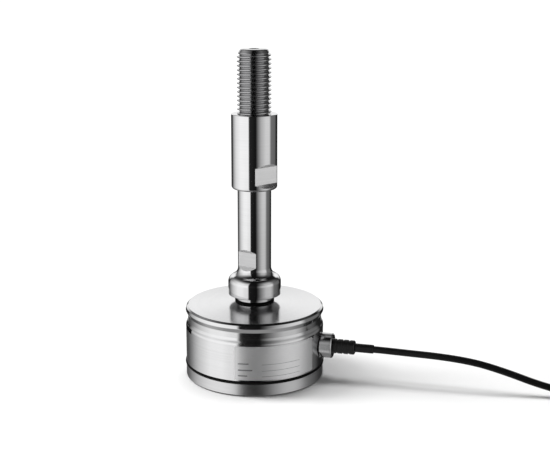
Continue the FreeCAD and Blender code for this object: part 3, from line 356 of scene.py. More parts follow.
M["tie"] = moulded("tie_nylon", (0.028, 0.028, 0.028), (0.018, 0.018, 0.018), 0.38, 1700.0, bump=0.10)
M["hard"] = plain_metal("hardened_steel", (0.46, 0.46, 0.47), 0.24, 1300.0, 0.16)
M["fastener"] = plain_metal("fastener_steel", (0.58, 0.58, 0.585), 0.30, 1500.0, 0.14)
M["tinned"] = plain_metal("tinned_steel", (0.62, 0.62, 0.60), 0.34, 700.0, 0.16)
M["brass"] = plain_metal("pillar_brass", (0.72, 0.53, 0.25), 0.28, 1200.0, 0.18)
M["chip"] = moulded("chip_black", (0.030, 0.030, 0.032), (0.020, 0.020, 0.021), 0.55, 5200.0, bump=0.3)
M["terminal"] = moulded("terminal_green", (0.030, 0.210, 0.070), (0.020, 0.150, 0.050), 0.42, 2600.0)
M["white"] = moulded("white_plastic", (0.72, 0.72, 0.70), (0.62, 0.62, 0.60), 0.45, 2400.0)
M["ceramic"] = moulded("white_ceramic", (0.80, 0.79, 0.76), (0.72, 0.71, 0.68), 0.34, 3600.0, bump=0.12)
M["board"] = board_green("green_board")


def finish_with(name, key):
    o = nodes[name]
    o.data.materials.clear()
    o.data.materials.append(M[key])


for name, key in {
    "base_plate": "base", "base_seal": "rubber", "base_screws": "fastener", "housing": "body",
    "label_plate": "label", "load_button": "hard", "button_seal": "rubber", "sensor_plate": "ceramic",
    "sensor_spacers": "white", "sensor_screws": "fastener", "circuit_board": "board", "board_pillars": "brass",
    "board_screws": "fastener", "shield_can": "tinned", "board_chips": "chip", "terminal_block": "terminal",
    "inner_lead": "jacket", "gland_body": "gland", "gland_washer": "rubber", "gland_grommet": "rubber",
    "gland_ferrule": "fastener", "strain_relief": "relief", "cable_sleeve": "shrink", "cable": "jacket",
    "cable_coil": "jacket", "cable_tie": "tie", "spindle": "spindle", "thrust_pad": "hard",
    "spindle_o_ring": "rubber", "sleeve_o_ring": "rubber", "locking_sleeve": "sleeve",
}.items():
    finish_with(name, key)


# ---------------------------------------------------------------- cable

ROUTE = [(43, 0, 25), (88, 0, 25), (112, 0, 24.4), (137, 0.1, 23.9), (160.5, 0.7, 21.6),
         (182, 1.7, 16.0), (203, 2.8, 9.1), (225, 3.8, 4.4), (247, 5.0, 3.4)]
COIL_X, COIL_Y = 261.0, 45.0
COIL_OUT, COIL_IN = 39.7, 22.3
COIL_LOW, COIL_STEP = 3.4, 5.2
TURNS = 3.3
CABLE_R = 2.475


def coil_points():
    """Control points of the tied coil: four flat layers, in, out, in and out again."""
    stages = []
    z = COIL_LOW
    inward = True
    for layer in range(4):
        r0, r1 = (COIL_OUT, COIL_IN) if inward else (COIL_IN, COIL_OUT)
        stages.append((TURNS, r0, r1, z, z))
        if layer < 3:
            stages.append((0.31 if inward else 0.22, r1, r1, z, z + COIL_STEP))
        z += COIL_STEP
        inward = not inward
    total = sum(s[0] for s in stages)
    step = 1.0 / 12.0
    out = []
    k = 0
    while k * step <= total + 1e-6:
        t = k * step
        left = t
        for turns, r0, r1, z0, z1 in stages:
            if left <= turns + 1e-9:
                break
            left -= turns
        f = min(1.0, left / turns)
        r = r0 + (r1 - r0) * f
        height = z0 + (z1 - z0) * (f * f * (3 - 2 * f))
        a = math.radians(-75.0) + 2 * math.pi * t
        out.append((COIL_X + r / 0.9665 * math.cos(a), COIL_Y + r / 0.9665 * math.sin(a), height))
        k += 1
    return out


def make_cable():
    data = bpy.data.curves.new("signal_cable", "CURVE")
    data.dimensions = "3D"
    data.bevel_depth = CABLE_R * MM
    data.bevel_resolution = 5
    data.resolution_u = 6
    data.use_fill_caps = True
    points = [Vector(p) * MM for p in ROUTE + coil_points()]
    line = data.splines.new("NURBS")
    line.points.add(len(points) - 1)
    for p, co in zip(line.points, points):
        p.co = (*co, 1.0)
    line.order_u = 3
    line.use_endpoint_u = True
    o = bpy.data.objects.new("signal_cable", data)
    scene.collection.objects.link(o)
    data.materials.append(M["jacket"])
    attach(o, "load_cell")
    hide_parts("cable", "cable_coil")
    return o, points


cable, cable_points = make_cable()
for o in (cable, nodes["cable_tie"]):
    o.visible_glossy = False


# ---------------------------------------------------------------- turned shapes


def arc(cx, cz, r, a0, a1, n):
    """n points on an arc, from a0 to a1 degrees."""
    return [(cx + r * math.cos(math.radians(a0 + (a1 - a0) * i / (n - 1))),
             cz + r * math.sin(math.radians(a0 + (a1 - a0) * i / (n - 1)))) for i in range(n)]


def support(points, closed, reach=0.07):
    """Adds a point close to each end of a long straight run, so that its shading stays even."""
    out = []
    n = len(points)
    for i, p in enumerate(points):
        out.append(p)
        if i == n - 1 and not closed:
            break
        q = points[(i + 1) % n]
        length = math.hypot(q[0] - p[0], q[1] - p[1])
        if length > 1.0:
            for f in (reach / length, 1.0 - reach / length):
                out.append((p[0] + (q[0] - p[0]) * f, p[1] + (q[1] - p[1]) * f))
    return out


def soften(points, closed, steps=5):
    """Rounds the corners of a profile whose entries have a third number, the radius of that corner."""
    out = []
    n = len(points)
    for i, p in enumerate(points):
        radius = p[2] if len(p) > 2 else 0.0
        ends = not closed and i in (0, n - 1)
        if radius <= 0 or ends:
            out.append((p[0], p[1]))
            continue
        a = Vector(points[i - 1][:2]) - Vector(p[:2])
        b = Vector(points[(i + 1) % n][:2]) - Vector(p[:2])
        la, lb = a.length, b.length
        a.normalize()
        b.normalize()
        half = math.acos(max(-1.0, min(1.0, a.dot(b)))) / 2
        cut = min(radius / math.tan(half), 0.48 * la, 0.48 * lb)
        radius = cut * math.tan(half)
        mid = (a + b).normalized()
        centre = Vector(p[:2]) + mid * (radius / math.sin(half))
        start = Vector(p[:2]) + a * cut - centre
        stop = Vector(p[:2]) + b * cut - centre
        turn = math.atan2(start.x * stop.y - start.y * stop.x, start.dot(stop))
        for k in range(steps + 1):
            f = turn * k / steps
            out.append((centre.x + start.x * math.cos(f) - start.y * math.sin(f),
                        centre.y + start.x * math.sin(f) + start.y * math.cos(f)))
    return support(out, closed)


def lathe(name, profile, segments, closed=False, axis="Z", offset=(0, 0, 0)):
    """A mesh turned from (radius, height) points in mm; an open profile starts and ends on the axis or is left open."""
    bm = bmesh.new()
    rows = []
    for r, z in profile:
        if r < 1e-6:
            rows.append([bm.verts.new((0, 0, z))])
        else:
            rows.append([bm.verts.new((r * math.cos(2 * math.pi * i / segments),
                                       r * math.sin(2 * math.pi * i / segments), z)) for i in range(segments)])
    pairs = list(zip(rows, rows[1:] + ([rows[0]] if closed else [])))
    for a, b in pairs:
        for i in range(segments):
            j = (i + 1) % segments
            if len(a) == 1 and len(b) == 1:
                continue
            if len(a) == 1:
                bm.faces.new((a[0], b[j], b[i]))
            elif len(b) == 1:
                bm.faces.new((a[i], a[j], b[0]))
            else:
                bm.faces.new((a[i], a[j], b[j], b[i]))
    bmesh.ops.recalc_face_normals(bm, faces=bm.faces)
    mesh = bpy.data.meshes.new(name)
    bm.to_mesh(mesh)
    bm.free()
    place = Matrix.Scale(MM, 4)
    if axis == "X":
        place = Matrix.Translation(Vector(offset) * MM) @ Matrix.Rotation(math.pi / 2, 4, "Y") @ place
    mesh.transform(place)
    return mesh


def prism(name, outline, half, turns):
    """Cutters: an outline in (x, z) mm pushed half each way along y, at each of the turns in degrees."""
    bm = bmesh.new()
    for turn in turns:
        c, s = math.cos(math.radians(turn)), math.sin(math.radians(turn))
        rings = []
        for y in (-half, half):
            rings.append([bm.verts.new(((x * c - y * s) * MM, (x * s + y * c) * MM, z * MM)) for x, z in outline])
        n = len(outline)
        bm.faces.new(rings[0])
        bm.faces.new(list(reversed(rings[1])))
        for i in range(n):
            j = (i + 1) % n
            bm.faces.new((rings[0][j], rings[0][i], rings[1][i], rings[1][j]))
    bmesh.ops.recalc_face_normals(bm, faces=bm.faces)
    mesh = bpy.data.meshes.new(name)
    bm.to_mesh(mesh)
    bm.free()
    return mesh


def drills(name, profile, spots, segments=32):
    """Cutters: one closed turned profile, standing at each of the (x, y) spots, mm."""
    bm = bmesh.new()
    for cx, cy in spots:
        rows = []
        for r, z in profile:
            if r < 1e-6:
                rows.append([bm.verts.new((cx * MM, cy * MM, z * MM))])
            else:
                rows.append([bm.verts.new(((cx + r * math.cos(2 * math.pi * i / segments)) * MM,
                                           (cy + r * math.sin(2 * math.pi * i / segments)) * MM, z * MM))
                             for i in range(segments)])
        for a, b in zip(rows, rows[1:]):
            for i in range(segments):
                j = (i + 1) % segments
                if len(a) == 1:
                    bm.faces.new((a[0], b[j], b[i]))
                elif len(b) == 1:
                    bm.faces.new((a[i], a[j], b[0]))
                else:
                    bm.faces.new((a[i], a[j], b[j], b[i]))
    bmesh.ops.recalc_face_normals(bm, faces=bm.faces)
    mesh = bpy.data.meshes.new(name)
    bm.to_mesh(mesh)
    bm.free()
    return mesh


def circle(radius, start, count):
    return [(radius * math.cos(math.radians(start + 360.0 * i / count)),
             radius * math.sin(math.radians(start + 360.0 * i / count))) for i in range(count)]


def cut(mesh, cutter):
    """mesh with the cutter taken away."""
    a = bpy.data.objects.new("cut_a", mesh)
    b = bpy.data.objects.new("cut_b", cutter)
    scene.collection.objects.link(a)
    scene.collection.objects.link(b)
    mod = a.modifiers.new("cut", "BOOLEAN")
    mod.operation = "DIFFERENCE"
    mod.solver = "EXACT"
    mod.object = b
    deps = bpy.context.evaluated_depsgraph_get()
    out = bpy.data.meshes.new_from_object(a.evaluated_get(deps), depsgraph=deps)
    bpy.data.objects.remove(a)
    bpy.data.objects.remove(b)
    bpy.data.meshes.remove(mesh)
    bpy.data.meshes.remove(cutter)
    return out


def smooth(mesh, angle=32.0):
    mesh.polygons.foreach_set("use_smooth", [True] * len(mesh.polygons))
    mesh.set_sharp_from_angle(angle=math.radians(angle))
    mesh.update()
    return mesh


def piece(name, mesh, keys, body, slot, *replaced):
    mesh.name = name
    marks = [f.material_index for f in mesh.polygons]
    mesh.materials.clear()
    for key in [keys] if isinstance(keys, str) else keys:
        mesh.materials.append(M[key])
    mesh.polygons.foreach_set("material_index", marks)
    o = bpy.data.objects.new(name, mesh)
    scene.collection.objects.link(o)
    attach(o, body)
    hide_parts(*replaced)
    return o


# ---------------------------------------------------------------- spindle with its thread

PITCH = 3.0
CREST, ROOT = 12.0, 10.16
SEG = 128
THREAD_LOW, THREAD_HIGH = 150.4, 234.2
LEAD = 10.24


def thread_radius(s):
    """Radius of a rounded 60 degree thread at distance s from a crest's middle, mm."""
    s = abs((s + PITCH / 2) % PITCH - PITCH / 2)
    flank = CREST - (s - 0.27) / math.tan(math.radians(30.0))
    r = max(ROOT, min(CREST, flank))
    return r


def stud_limit(z):
    """Largest radius that the stud's lead leaves at height z."""
    if z <= 231.4:
        return CREST
    return max(LEAD, CREST - (z - 231.4) / 2.8 * (CREST - LEAD))


def runout(z):
    """Smallest radius where the thread starts out of the plain rod."""
    return CREST - max(0.0, z - 150.6) * 0.62


def make_spindle():
    lower = ([(0, 69.6), (8.56, 69.6), (8.56, 62.5), (10.75, 62.5), (10.75, 60.3), (8.56, 60.3), (8.56, 56.4, 0.2),
              (13.2, 56.4, 0.2), (13.2, 60.2), (19.1, 60.2, 0.5), (19.1, 64.0), (19.1, 67.0)]
             + arc(13.6, 69.25, 5.5, 0.0, 65.9, 15) + arc(18.5, 80.204, 6.5, 245.9, 180.0, 17)[1:]
             + [(12, 80.8), (12, 82.3), (12, 87.0), (12, 92.4), (12, 95.4), (12, 97.0), (12, 110.0),
                (12, 125.0), (12, 140.0), (12, THREAD_LOW), (0, THREAD_LOW)])
    body = lathe("spindle_lower", soften(lower, False, 5), SEG)
    flats = prism("spindle_cut", [(9.5, 81.9), (14, 77.4), (14, 96.8), (9.5, 92.3)], 24, (-107.5, 72.5))
    body = cut(body, flats)

    offsets = [-1.5, -1.40, -1.33, -1.20, -0.80, -0.45, -0.33, -0.24, 0.24, 0.33, 0.45, 0.80, 1.20, 1.33, 1.40]
    rounding = {1.33: 10.24, 1.20: 10.41, 0.33: 11.88, 0.24: 11.985}
    m = len(offsets)
    bm = bmesh.new()
    bm.from_mesh(body)
    bpy.data.meshes.remove(body)
    bmesh.ops.transform(bm, matrix=Matrix.Scale(1 / MM, 4), verts=bm.verts)
    # the closing disc of the lower part goes: the thread stands on its rim
    top = [f for f in bm.faces if all(abs(v.co.z - THREAD_LOW) < 1e-4 for v in f.verts)]
    bmesh.ops.delete(bm, geom=top, context="FACES")
    loose = [v for v in bm.verts if not v.link_faces]
    bmesh.ops.delete(bm, geom=loose, context="VERTS")

    turns = int((THREAD_HIGH - THREAD_LOW) / PITCH) + 3
    total = turns * m
    grid = []
    for i in range(SEG + 1):
        theta = 2 * math.pi * i / SEG
        column = []
        for row in range(total):
            k, j = divmod(row, m)
            s = offsets[j]
            z = THREAD_LOW - PITCH + PITCH * (k + theta / (2 * math.pi)) + s
            key = round(abs(s), 2)
            r = rounding.get(key, thread_radius(s))
            z = min(max(z, THREAD_LOW), THREAD_HIGH)
            r = min(max(r, runout(z)), stud_limit(z))
            if z <= THREAD_LOW + 1e-9:
                r = CREST
            elif z >= THREAD_HIGH - 1e-9:
                r = LEAD
            column.append((r, z))
        grid.append(column)
    made = {}

    def vert(i, row):
        r, z = grid[i][row]
        a = 2 * math.pi * (i % SEG) / SEG
        key = (i % SEG, round(z, 5), round(r, 5))
        if key not in made:
            made[key] = bm.verts.new((r * math.cos(a), r * math.sin(a), z))
        return made[key]

    for i in range(SEG):
        for row in range(total - 1):
            ring = [vert(i, row), vert(i + 1, row), vert(i + 1, row + 1), vert(i, row + 1)]
            unique = []
            for v in ring:
                if v not in unique:
                    unique.append(v)
            if len(unique) >= 3:
                try:
                    bm.faces.new(unique)
                except ValueError:
                    pass
    # the plain lead above the thread, the end face and the centre hole
    lead = [(LEAD, THREAD_HIGH), (10.0, 234.6), (9.62, 235.2), (9.30, 235.45), (8.85, 235.59), (6.0, 235.59), (3.62, 235.59), (3.40, 235.45),
            (1.3, 231.8), (1.3, 229.0), (0.0, 228.2)]
    lead = soften([(r, z, 0.35) if i in (2,) else (r, z) for i, (r, z) in enumerate(lead)], False, 3)
    rows = []
    for r, z in lead:
        if r < 1e-6:
            rows.append([bm.verts.new((0, 0, z))])
        else:
            rows.append([bm.verts.new((r * math.cos(2 * math.pi * i / SEG), r * math.sin(2 * math.pi * i / SEG), z))
                         for i in range(SEG)])
    for a, b in zip(rows, rows[1:]):
        for i in range(SEG):
            j = (i + 1) % SEG
            if len(b) == 1:
                bm.faces.new((a[i], a[j], b[0]))
            else:
                bm.faces.new((a[i], a[j], b[j], b[i]))
    bmesh.ops.remove_doubles(bm, verts=bm.verts, dist=0.0008)
    bmesh.ops.dissolve_degenerate(bm, edges=bm.edges, dist=0.0004)
    bmesh.ops.recalc_face_normals(bm, faces=bm.faces)
    for f in bm.faces:
        middle = f.calc_center_median()
        # painted shade: the centre hole in the stud's end gets the dark steel, standing in for the shade inside the
        # hole
        if middle.z > 228.0 and math.hypot(middle.x, middle.y) < 3.61:
            f.material_index = 4
        elif middle.z > THREAD_LOW and not (middle.z > 235.5 and f.normal.z > 0.9):
            f.material_index = 1
        elif 77.5 < middle.z < 96.7 and math.hypot(middle.x, middle.y) < 11.97:
            f.material_index = 2 if abs(f.normal.z) < 0.2 else 3
        # painted shade: the collar's underside gets the dark steel, standing in for the shade under the collar
        elif 59.9 < middle.z < 60.5 and f.normal.z < -0.9:
            f.material_index = 4
    mesh = bpy.data.meshes.new("spindle_turned")
    bmesh.ops.transform(bm, matrix=Matrix.Scale(MM, 4), verts=bm.verts)
    bm.to_mesh(mesh)
    bm.free()
    return piece("spindle_turned", smooth(mesh, 34.0), ("spindle", "stud", "rod_flat", "ramp", "edge"), "spindle", "polished_steel", "spindle")


make_spindle()


# ---------------------------------------------------------------- locking sleeve


def make_sleeve():
    outer = ([(12.06, 137.7, 0.2), (14.25, 137.7)] + arc(14.25, 139.7, 2.0, -75.0, 0.0, 7)
             + [(16.25, 141.0), (16.25, 146.0), (16.25, 150.0), (16.25, 156.0), (16.25, 159.0), (16.25, 170.0),
                (16.25, 182.0), (16.25, 190.9, 0.55), (12.75, 190.9, 0.15), (12.06, 190.2), (12.06, 170.0),
                (12.06, 150.0), (12.06, 140.5), (13.55, 140.5), (13.55, 138.6), (12.06, 138.6)])
    mesh = lathe("sleeve_turned", soften(outer, True, 5), 160, closed=True)
    flats = prism("sleeve_cut", [(13, 142.5), (18, 138.5), (18, 158.3), (13, 154.3)], 32.5, (-35.6, 144.4))
    mesh = cut(mesh, flats)
    o = piece("sleeve_turned", smooth(mesh, 32.0), ("sleeve", "sleeve_flat"), "sleeve", "polished_steel",
              "locking_sleeve")
    for f in mesh.polygons:
        r = math.hypot(f.center.x, f.center.y) / MM
        out = (f.center.x * f.normal.x + f.center.y * f.normal.y) / MM
        if 138.4 < f.center.z / MM < 158.4 and r < 16.18 and out > 4.0 and f.center.z / MM > 140.0:
            f.material_index = 1
    return o


make_sleeve()


# ---------------------------------------------------------------- measuring body, base and label


def make_housing():
    shape = [(0, 35), (10, 35, 0.2), (10, 41, 0.5), (25, 41, 0.5), (25, 38, 0.2), (38, 38, 0.5), (38, 16.6, 0.2),
             (41, 16.6), (41, 11.0, 0.2), (49.7, 11.0), (50, 11.3), (50, 24.0), (50, 36.9),
             *arc(46.34, 37.3, 3.66, 0.0, 36.0, 7), *arc(52.262, 41.602, 3.66, 216.0, 180.0, 7)[1:], (48.5, 42.0), (48.5, 46, 0.8), (50.1, 49.3, 1.2), (49.45, 51.35, 0.25), (48.05, 52.523, 0.25), (30.0, 53.785), (12.6, 55, 0.2),
             (12.6, 54.6), (6.03, 54.6), (6.03, 46), (0, 46)]
    mesh = lathe("housing_turned", soften(shape, False, 6), 224)
    port = lathe("port_cut", [(0, 36), (6.05, 36), (6.05, 48.6), (9.5, 48.6), (9.5, 54), (0, 54)], 96, axis="X",
                 offset=(0, 0, 25))
    mesh = cut(mesh, port)
    mesh = cut(mesh, prism("slot_cut", [(46.2, 36.1), (53, 36.1), (53, 39.3), (46.2, 39.3)], 6.0, (-145.6,)))
    mesh = cut(mesh, drills("tap_cut", [(0, 10.4), (2.0, 10.4), (2.0, 21.1), (0, 22.3)], circle(44.3, 30, 6)))
    mesh = cut(mesh, drills("small_tap_cut", [(0, 37.5), (1.5, 37.5), (1.5, 44.2), (0, 45.0)],
                            circle(29.0, 90, 3) + circle(34.5, 60, 3)))
    o = piece("housing_turned", smooth(mesh, 30.0), ("body", "crown", "rim", "edge"), "load_cell", "polished_steel", "housing")
    out = Vector((math.cos(math.radians(-145.6)), math.sin(math.radians(-145.6)), 0.0))
    side = Vector((-out.y, out.x, 0.0))
    for f in mesh.polygons:
        middle = f.center / MM
        # painted shade: the slot's inside faces get the dark steel, standing in for the shade in the slot
        if 36.0 < middle.z < 39.4 and middle.dot(out) > 42.0 and abs(middle.dot(side)) < 6.1:
            if abs(f.normal.z) > 0.95 or abs(f.normal.dot(side)) > 0.95 or middle.dot(out) < 46.4:
                f.material_index = 3
        elif f.center.z / MM > 52.0 and f.normal.z > 0.985:
            f.material_index = 1
        elif f.center.z / MM > 49.0 and f.normal.z > 0.2:
            f.material_index = 2
    return o


def make_base():
    shape = [(0, 0), (24.0, 0), (49.0, 0, 0.1), (50, 1.0, 0.15), (50, 8.9), (49.7, 9.2), (40.9, 9.2), (40.9, 14.6, 0.3),
             (34, 14.6, 0.3), (34, 7, 0.6), (0, 7)]
    mesh = lathe("base_turned", soften(shape, False, 4), 224)
    holes = drills("base_cut", [(0, -1.0), (3.8, -1.0), (3.8, 4.3), (2.25, 4.3), (2.25, 11.0), (0, 11.0)],
                   circle(44.3, 30, 6), 40)
    mesh = smooth(cut(mesh, holes), 30.0)
    o = piece("base_turned", mesh, ("base", "edge"), "load_cell", "polished_steel", "base_plate")
    for f in mesh.polygons:
        # painted shade: the bottom chamfer gets the dark steel, standing in for the contact shadow on the floor that it
        # reflects
        if f.center.z / MM < 1.2 and f.normal.z < -0.15 and math.hypot(f.center.x, f.center.y) / MM > 48.9:
            f.material_index = 1
    return o


def make_seal():
    shape = [(41.2, 9.2)] + arc(49.72, 10.1, 0.9, -90.0, 90.0, 15) + [(41.2, 11.0)]
    mesh = lathe("seal_ring", shape, 224, closed=True)
    holes = drills("seal_cut", [(0, 8.6), (2.25, 8.6), (2.25, 11.6), (0, 11.6)], circle(44.3, 30, 6))
    return piece("seal_ring", smooth(cut(mesh, holes), 40.0), "rubber", "load_cell", "black_rubber", "base_seal")


def make_label():
    """Curved plate with round corners, bent round the body's wall."""
    low, high, inner, outer, corner = 12.2, 36.7, 50.01, 50.25, 1.0
    middle, half = -55.9, 35.5
    reach = math.degrees(corner / outer)
    steps = [reach * (1 - math.cos(math.pi / 2 * i / 7)) for i in range(8)]
    inside = 60
    offsets = steps + [reach + (2 * half - 2 * reach) * i / inside for i in range(1, inside)] + \
        [2 * half - v for v in reversed(steps)]
    bm = bmesh.new()
    levels = 9
    fronts, backs = [], []
    for v in offsets:
        near = min(v, 2 * half - v)
        back = 0.0
        if near < reach:
            d = corner * (1 - near / reach)
            back = corner - math.sqrt(max(corner * corner - d * d, 0.0))
        a = math.radians(middle - half + v)
        z0, z1 = low + back, high - back
        row = []
        for r in (outer, inner):
            row.append([bm.verts.new((r * math.cos(a), r * math.sin(a), z0 + (z1 - z0) * i / levels))
                        for i in range(levels + 1)])
        fronts.append(row[0])
        backs.append(row[1])
    for side, flip in ((fronts, False), (backs, True)):
        for a, b in zip(side, side[1:]):
            for i in range(levels):
                face = (a[i], b[i], b[i + 1], a[i + 1])
                bm.faces.new(tuple(reversed(face)) if flip else face)
    for k in range(len(offsets) - 1):
        for i in (0, levels):
            bm.faces.new((fronts[k][i], fronts[k + 1][i], backs[k + 1][i], backs[k][i]))
    for k in (0, len(offsets) - 1):
        for i in range(levels):
            bm.faces.new((fronts[k][i], fronts[k][i + 1], backs[k][i + 1], backs[k][i]))
    bmesh.ops.recalc_face_normals(bm, faces=bm.faces)
    mesh = bpy.data.meshes.new("label_bent")
    bmesh.ops.transform(bm, matrix=Matrix.Scale(MM, 4), verts=bm.verts)
    bm.to_mesh(mesh)
    bm.free()
    return piece("label_bent", smooth(mesh, 30.0), "label", "load_cell", "label_metal", "label_plate")


make_housing()
make_base()
make_seal()
make_label()


# ---------------------------------------------------------------- gland and strain relief


def make_gland():
    shape = [(2.6, 38.3), (5.4, 38.3), (6, 38.9), (6, 49.9), (9, 49.9, 0.15), (9, 57.8, 0.25), (8.2, 58.6, 0.2),
             (5.15, 58.6, 0.2), (5.15, 47.2), (2.6, 47.2)]
    mesh = lathe("gland_turned", soften(shape, True, 4), 128, closed=True, axis="X", offset=(0, 0, 25))
    return piece("gland_turned", smooth(mesh, 30.0), "gland", "load_cell", "polished_steel", "gland_body")


def make_relief():
    shape = [(2.5, 54.4), (5.1, 54.4), (5.1, 58.6), (5.3, 58.6), (5.3, 60.9, 0.35)]
    for i in range(3):
        low, high = 4.8 - 0.05 * i, 5.3 - 0.06 * (i + 1)
        at = 60.9 + 4.3 * i
        stop = at + 4.3 if i < 2 else 73.8
        shape += [(low, at + 0.5, 0.3), (low, at + 1.1, 0.3), (high, at + 1.6, 0.35), (high, stop, 0.35)]
    shape += [(4.42, 74.5, 0.25), (2.5, 74.5)]
    mesh = lathe("relief_moulded", soften(shape, True, 4), 96, closed=True, axis="X", offset=(0, 0, 25))
    return piece("relief_moulded", smooth(mesh, 35.0), "relief", "load_cell", "black_plastic", "strain_relief")


def make_shrink():
    shape = [(2.6, 74.5), (3.15, 74.5), (3.15, 80.0), (3.15, 87.7, 0.2), (2.85, 88.0, 0.1), (2.6, 88.0)]
    mesh = lathe("sleeve_shrunk", soften(shape, True, 4), 80, closed=True, axis="X", offset=(0, 0, 25))
    return piece("sleeve_shrunk", smooth(mesh, 35.0), "shrink", "load_cell", "black_plastic", "cable_sleeve")


make_gland()
make_relief()
make_shrink()


# ---------------------------------------------------------------- floor, light, surroundings


def make_floor():
    bm = bmesh.new()
    n, half = 24, 20.0
    rows = [[bm.verts.new((-half + 2 * half * i / n, -half + 2 * half * j / n, -0.00002)) for i in range(n + 1)]
            for j in range(n + 1)]
    for j in range(n):
        for i in range(n):
            bm.faces.new((rows[j][i], rows[j][i + 1], rows[j + 1][i + 1], rows[j + 1][i]))
    mesh = bpy.data.meshes.new("floor")
    bm.to_mesh(mesh)
    bm.free()
    m, t, s = material("floor_paper")
    vector, x, y, z = t.position()
    t.put(s.inputs["Base Color"], t.mix(t.noise(vector, 3.0, 2.0), grey(0.80), grey(0.82)))
    s.inputs["Roughness"].default_value = 0.9
    s.inputs["Specular IOR Level"].default_value = 0.0
    mesh.materials.append(m)
    o = bpy.data.objects.new("floor", mesh)
    scene.collection.objects.link(o)
    o.visible_glossy = False
    return o


make_floor()


def make_sun(name, energy, angle, psi, height):
    data = bpy.data.lights.new(name, "SUN")
    data.energy = energy
    data.angle = math.radians(angle)
    o = bpy.data.objects.new(name, data)
    scene.collection.objects.link(o)
    az = math.radians(CAM_AZIMUTH + psi)
    toward = Vector((math.sin(az) * math.cos(math.radians(height)), -math.cos(az) * math.cos(math.radians(height)),
                     math.sin(math.radians(height))))
    o.rotation_euler = toward.to_track_quat("Z", "Y").to_euler()
    o.location = toward * 2.0
    o.visible_glossy = False
    return o


make_sun("key_low", 1.15, 24.0, -102.0, 34.0)
make_sun("key", 1.35, 22.0, -102.0, 51.0)
make_sun("key_high", 0.85, 26.0, -104.0, 68.0)
make_sun("overhead", 1.25, 26.0, 154.0, 76.0)

# Studio surround by direction, degrees round from the camera: a wide panel on the left, a smaller one on the right,
# a dark gap between them and a dark back
LOW_BANDS = [(-180, 0.40), (-170, 0.36), (-161, 0.05), (-144, 0.08), (-130, 0.20), (-106, 0.54), (-80, 0.82), (-56, 0.84),
             (-44, 0.74), (-30, 0.70), (-25, 0.01), (9, 0.005), (16, 0.04), (27, 0.15), (51, 0.45), (72, 0.48), (84, 0.32),
             (94, 0.14), (118, 0.08), (134, 0.012), (161, 0.012), (170, 0.36), (180, 0.40)]
HORIZON = [(-180, 0.40), (-170, 0.36), (-161, 0.012), (-138, 0.02), (-125, 0.36), (-102, 0.74), (-72, 0.92), (-30, 0.90),
           (-25, 0.02), (8, 0.006), (14, 0.09), (34, 0.42), (60, 0.63), (80, 0.63), (91, 0.16), (126, 0.12), (136, 0.012),
           (161, 0.012), (170, 0.36), (180, 0.40)]


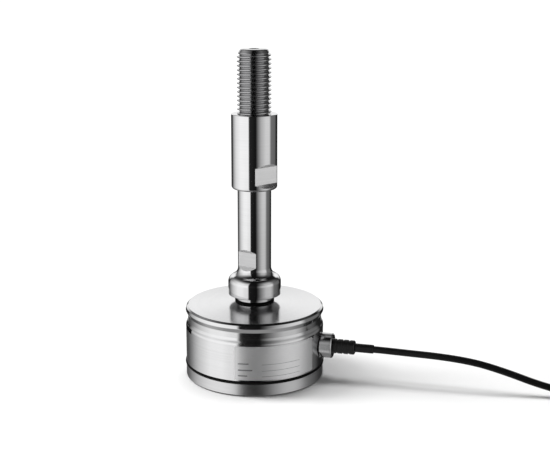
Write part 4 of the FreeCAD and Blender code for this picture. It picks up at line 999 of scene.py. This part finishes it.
def make_world():
    world = bpy.data.worlds.new("studio")
    scene.world = world
    world.use_nodes = True
    t = Tree(world.node_tree)
    for n in list(t.nodes):
        t.nodes.remove(n)
    out = t.new("ShaderNodeOutputWorld")
    coord = t.new("ShaderNodeTexCoord")
    sep = t.new("ShaderNodeSeparateXYZ")
    t.links.new(coord.outputs["Generated"], sep.inputs[0])
    x, y, z = sep.outputs[0], sep.outputs[1], sep.outputs[2]
    a = math.radians(CAM_AZIMUTH)
    side = t.math("ADD", t.math("MULTIPLY", x, math.cos(a)), t.math("MULTIPLY", y, math.sin(a)))
    front = t.math("SUBTRACT", t.math("MULTIPLY", x, math.sin(a)), t.math("MULTIPLY", y, math.cos(a)))
    psi = t.math("ARCTAN2", side, front)
    at = t.math("ADD", t.math("DIVIDE", psi, 2 * math.pi), 0.5)

    def ramp_sorted(stops):
        ramp = t.new("ShaderNodeValToRGB")
        t.links.new(at, ramp.inputs[0])
        cr = ramp.color_ramp
        cr.interpolation = "LINEAR"
        cr.elements[0].position = 0.0
        cr.elements[0].color = grey(stops[0][1])
        cr.elements[1].position = 1.0
        cr.elements[1].color = grey(stops[-1][1])
        for p, v in stops[1:-1]:
            e = cr.elements.new(p / 360.0 + 0.5)
            e.color = grey(v)
        return ramp.outputs[0]

    level = t.math("MULTIPLY", t.span(z, math.sin(math.radians(-19.0)), math.sin(math.radians(-8.0)), 0.0, 1.0, True),
                   t.span(z, math.sin(math.radians(9.0)), math.sin(math.radians(18.0)), 1.0, 0.0, True))
    surround = t.mix(level, ramp_sorted(LOW_BANDS), ramp_sorted(HORIZON))
    over = t.span(z, math.sin(math.radians(26.0)), math.sin(math.radians(74.0)), 0.0, 1.0, True)
    surround = t.mix(over, surround, grey(0.005))
    flat = t.math("SQRT", t.math("MAXIMUM", t.math("SUBTRACT", 1.0, t.math("MULTIPLY", z, z)), 1e-6))
    behind = t.span(t.math("DIVIDE", front, flat), math.cos(math.radians(158.0)), math.cos(math.radians(138.0)),
                    1.0, 0.0, True)
    behind = t.math("MULTIPLY", behind, t.span(z, math.sin(math.radians(-2.0)), math.sin(math.radians(4.0)), 0.0, 1.0, True))
    behind = t.math("MULTIPLY", behind, t.span(z, math.sin(math.radians(25.0)), math.sin(math.radians(32.0)), 1.0, 0.0, True))
    panel = t.mix(t.span(z, math.sin(math.radians(5.0)), math.sin(math.radians(18.0)), 0.0, 1.0, True), grey(0.72), grey(0.90))
    surround = t.mix(behind, surround, panel)
    roof = t.math("MULTIPLY", t.span(z, math.sin(math.radians(54.0)), math.sin(math.radians(66.0)), 0.0, 1.0, True),
                  t.span(z, math.sin(math.radians(74.0)), math.sin(math.radians(86.0)), 1.0, 0.0, True))
    roof = t.math("MULTIPLY", roof, t.span(t.math("DIVIDE", front, flat), -0.80, -0.45, 1.0, 0.0, True))
    surround = t.mix(roof, surround, grey(0.26))
    under = t.span(z, -math.sin(math.radians(64.0)), -math.sin(math.radians(40.0)), 1.0, 0.0, True)
    surround = t.mix(under, surround, grey(0.24))
    path = t.new("ShaderNodeLightPath")
    seen = t.new("ShaderNodeBackground")
    seen.inputs["Color"].default_value = grey(1.0)
    seen.inputs["Strength"].default_value = 1.3
    fill = t.new("ShaderNodeBackground")
    fill.inputs["Color"].default_value = grey(1.0)
    fill.inputs["Strength"].default_value = 0.20
    mirror = t.new("ShaderNodeBackground")
    t.links.new(surround, mirror.inputs["Color"])
    mirror.inputs["Strength"].default_value = 1.36
    first = t.new("ShaderNodeMixShader")
    t.links.new(path.outputs["Is Diffuse Ray"], first.inputs[0])
    t.links.new(mirror.outputs[0], first.inputs[1])
    t.links.new(fill.outputs[0], first.inputs[2])
    second = t.new("ShaderNodeMixShader")
    t.links.new(path.outputs["Is Camera Ray"], second.inputs[0])
    t.links.new(first.outputs[0], second.inputs[1])
    t.links.new(seen.outputs[0], second.inputs[2])
    t.links.new(second.outputs[0], out.inputs["Surface"])
    world.cycles.sampling_method = "NONE"


make_world()
scene.view_settings.view_transform = "Standard"
scene.view_settings.look = "None"
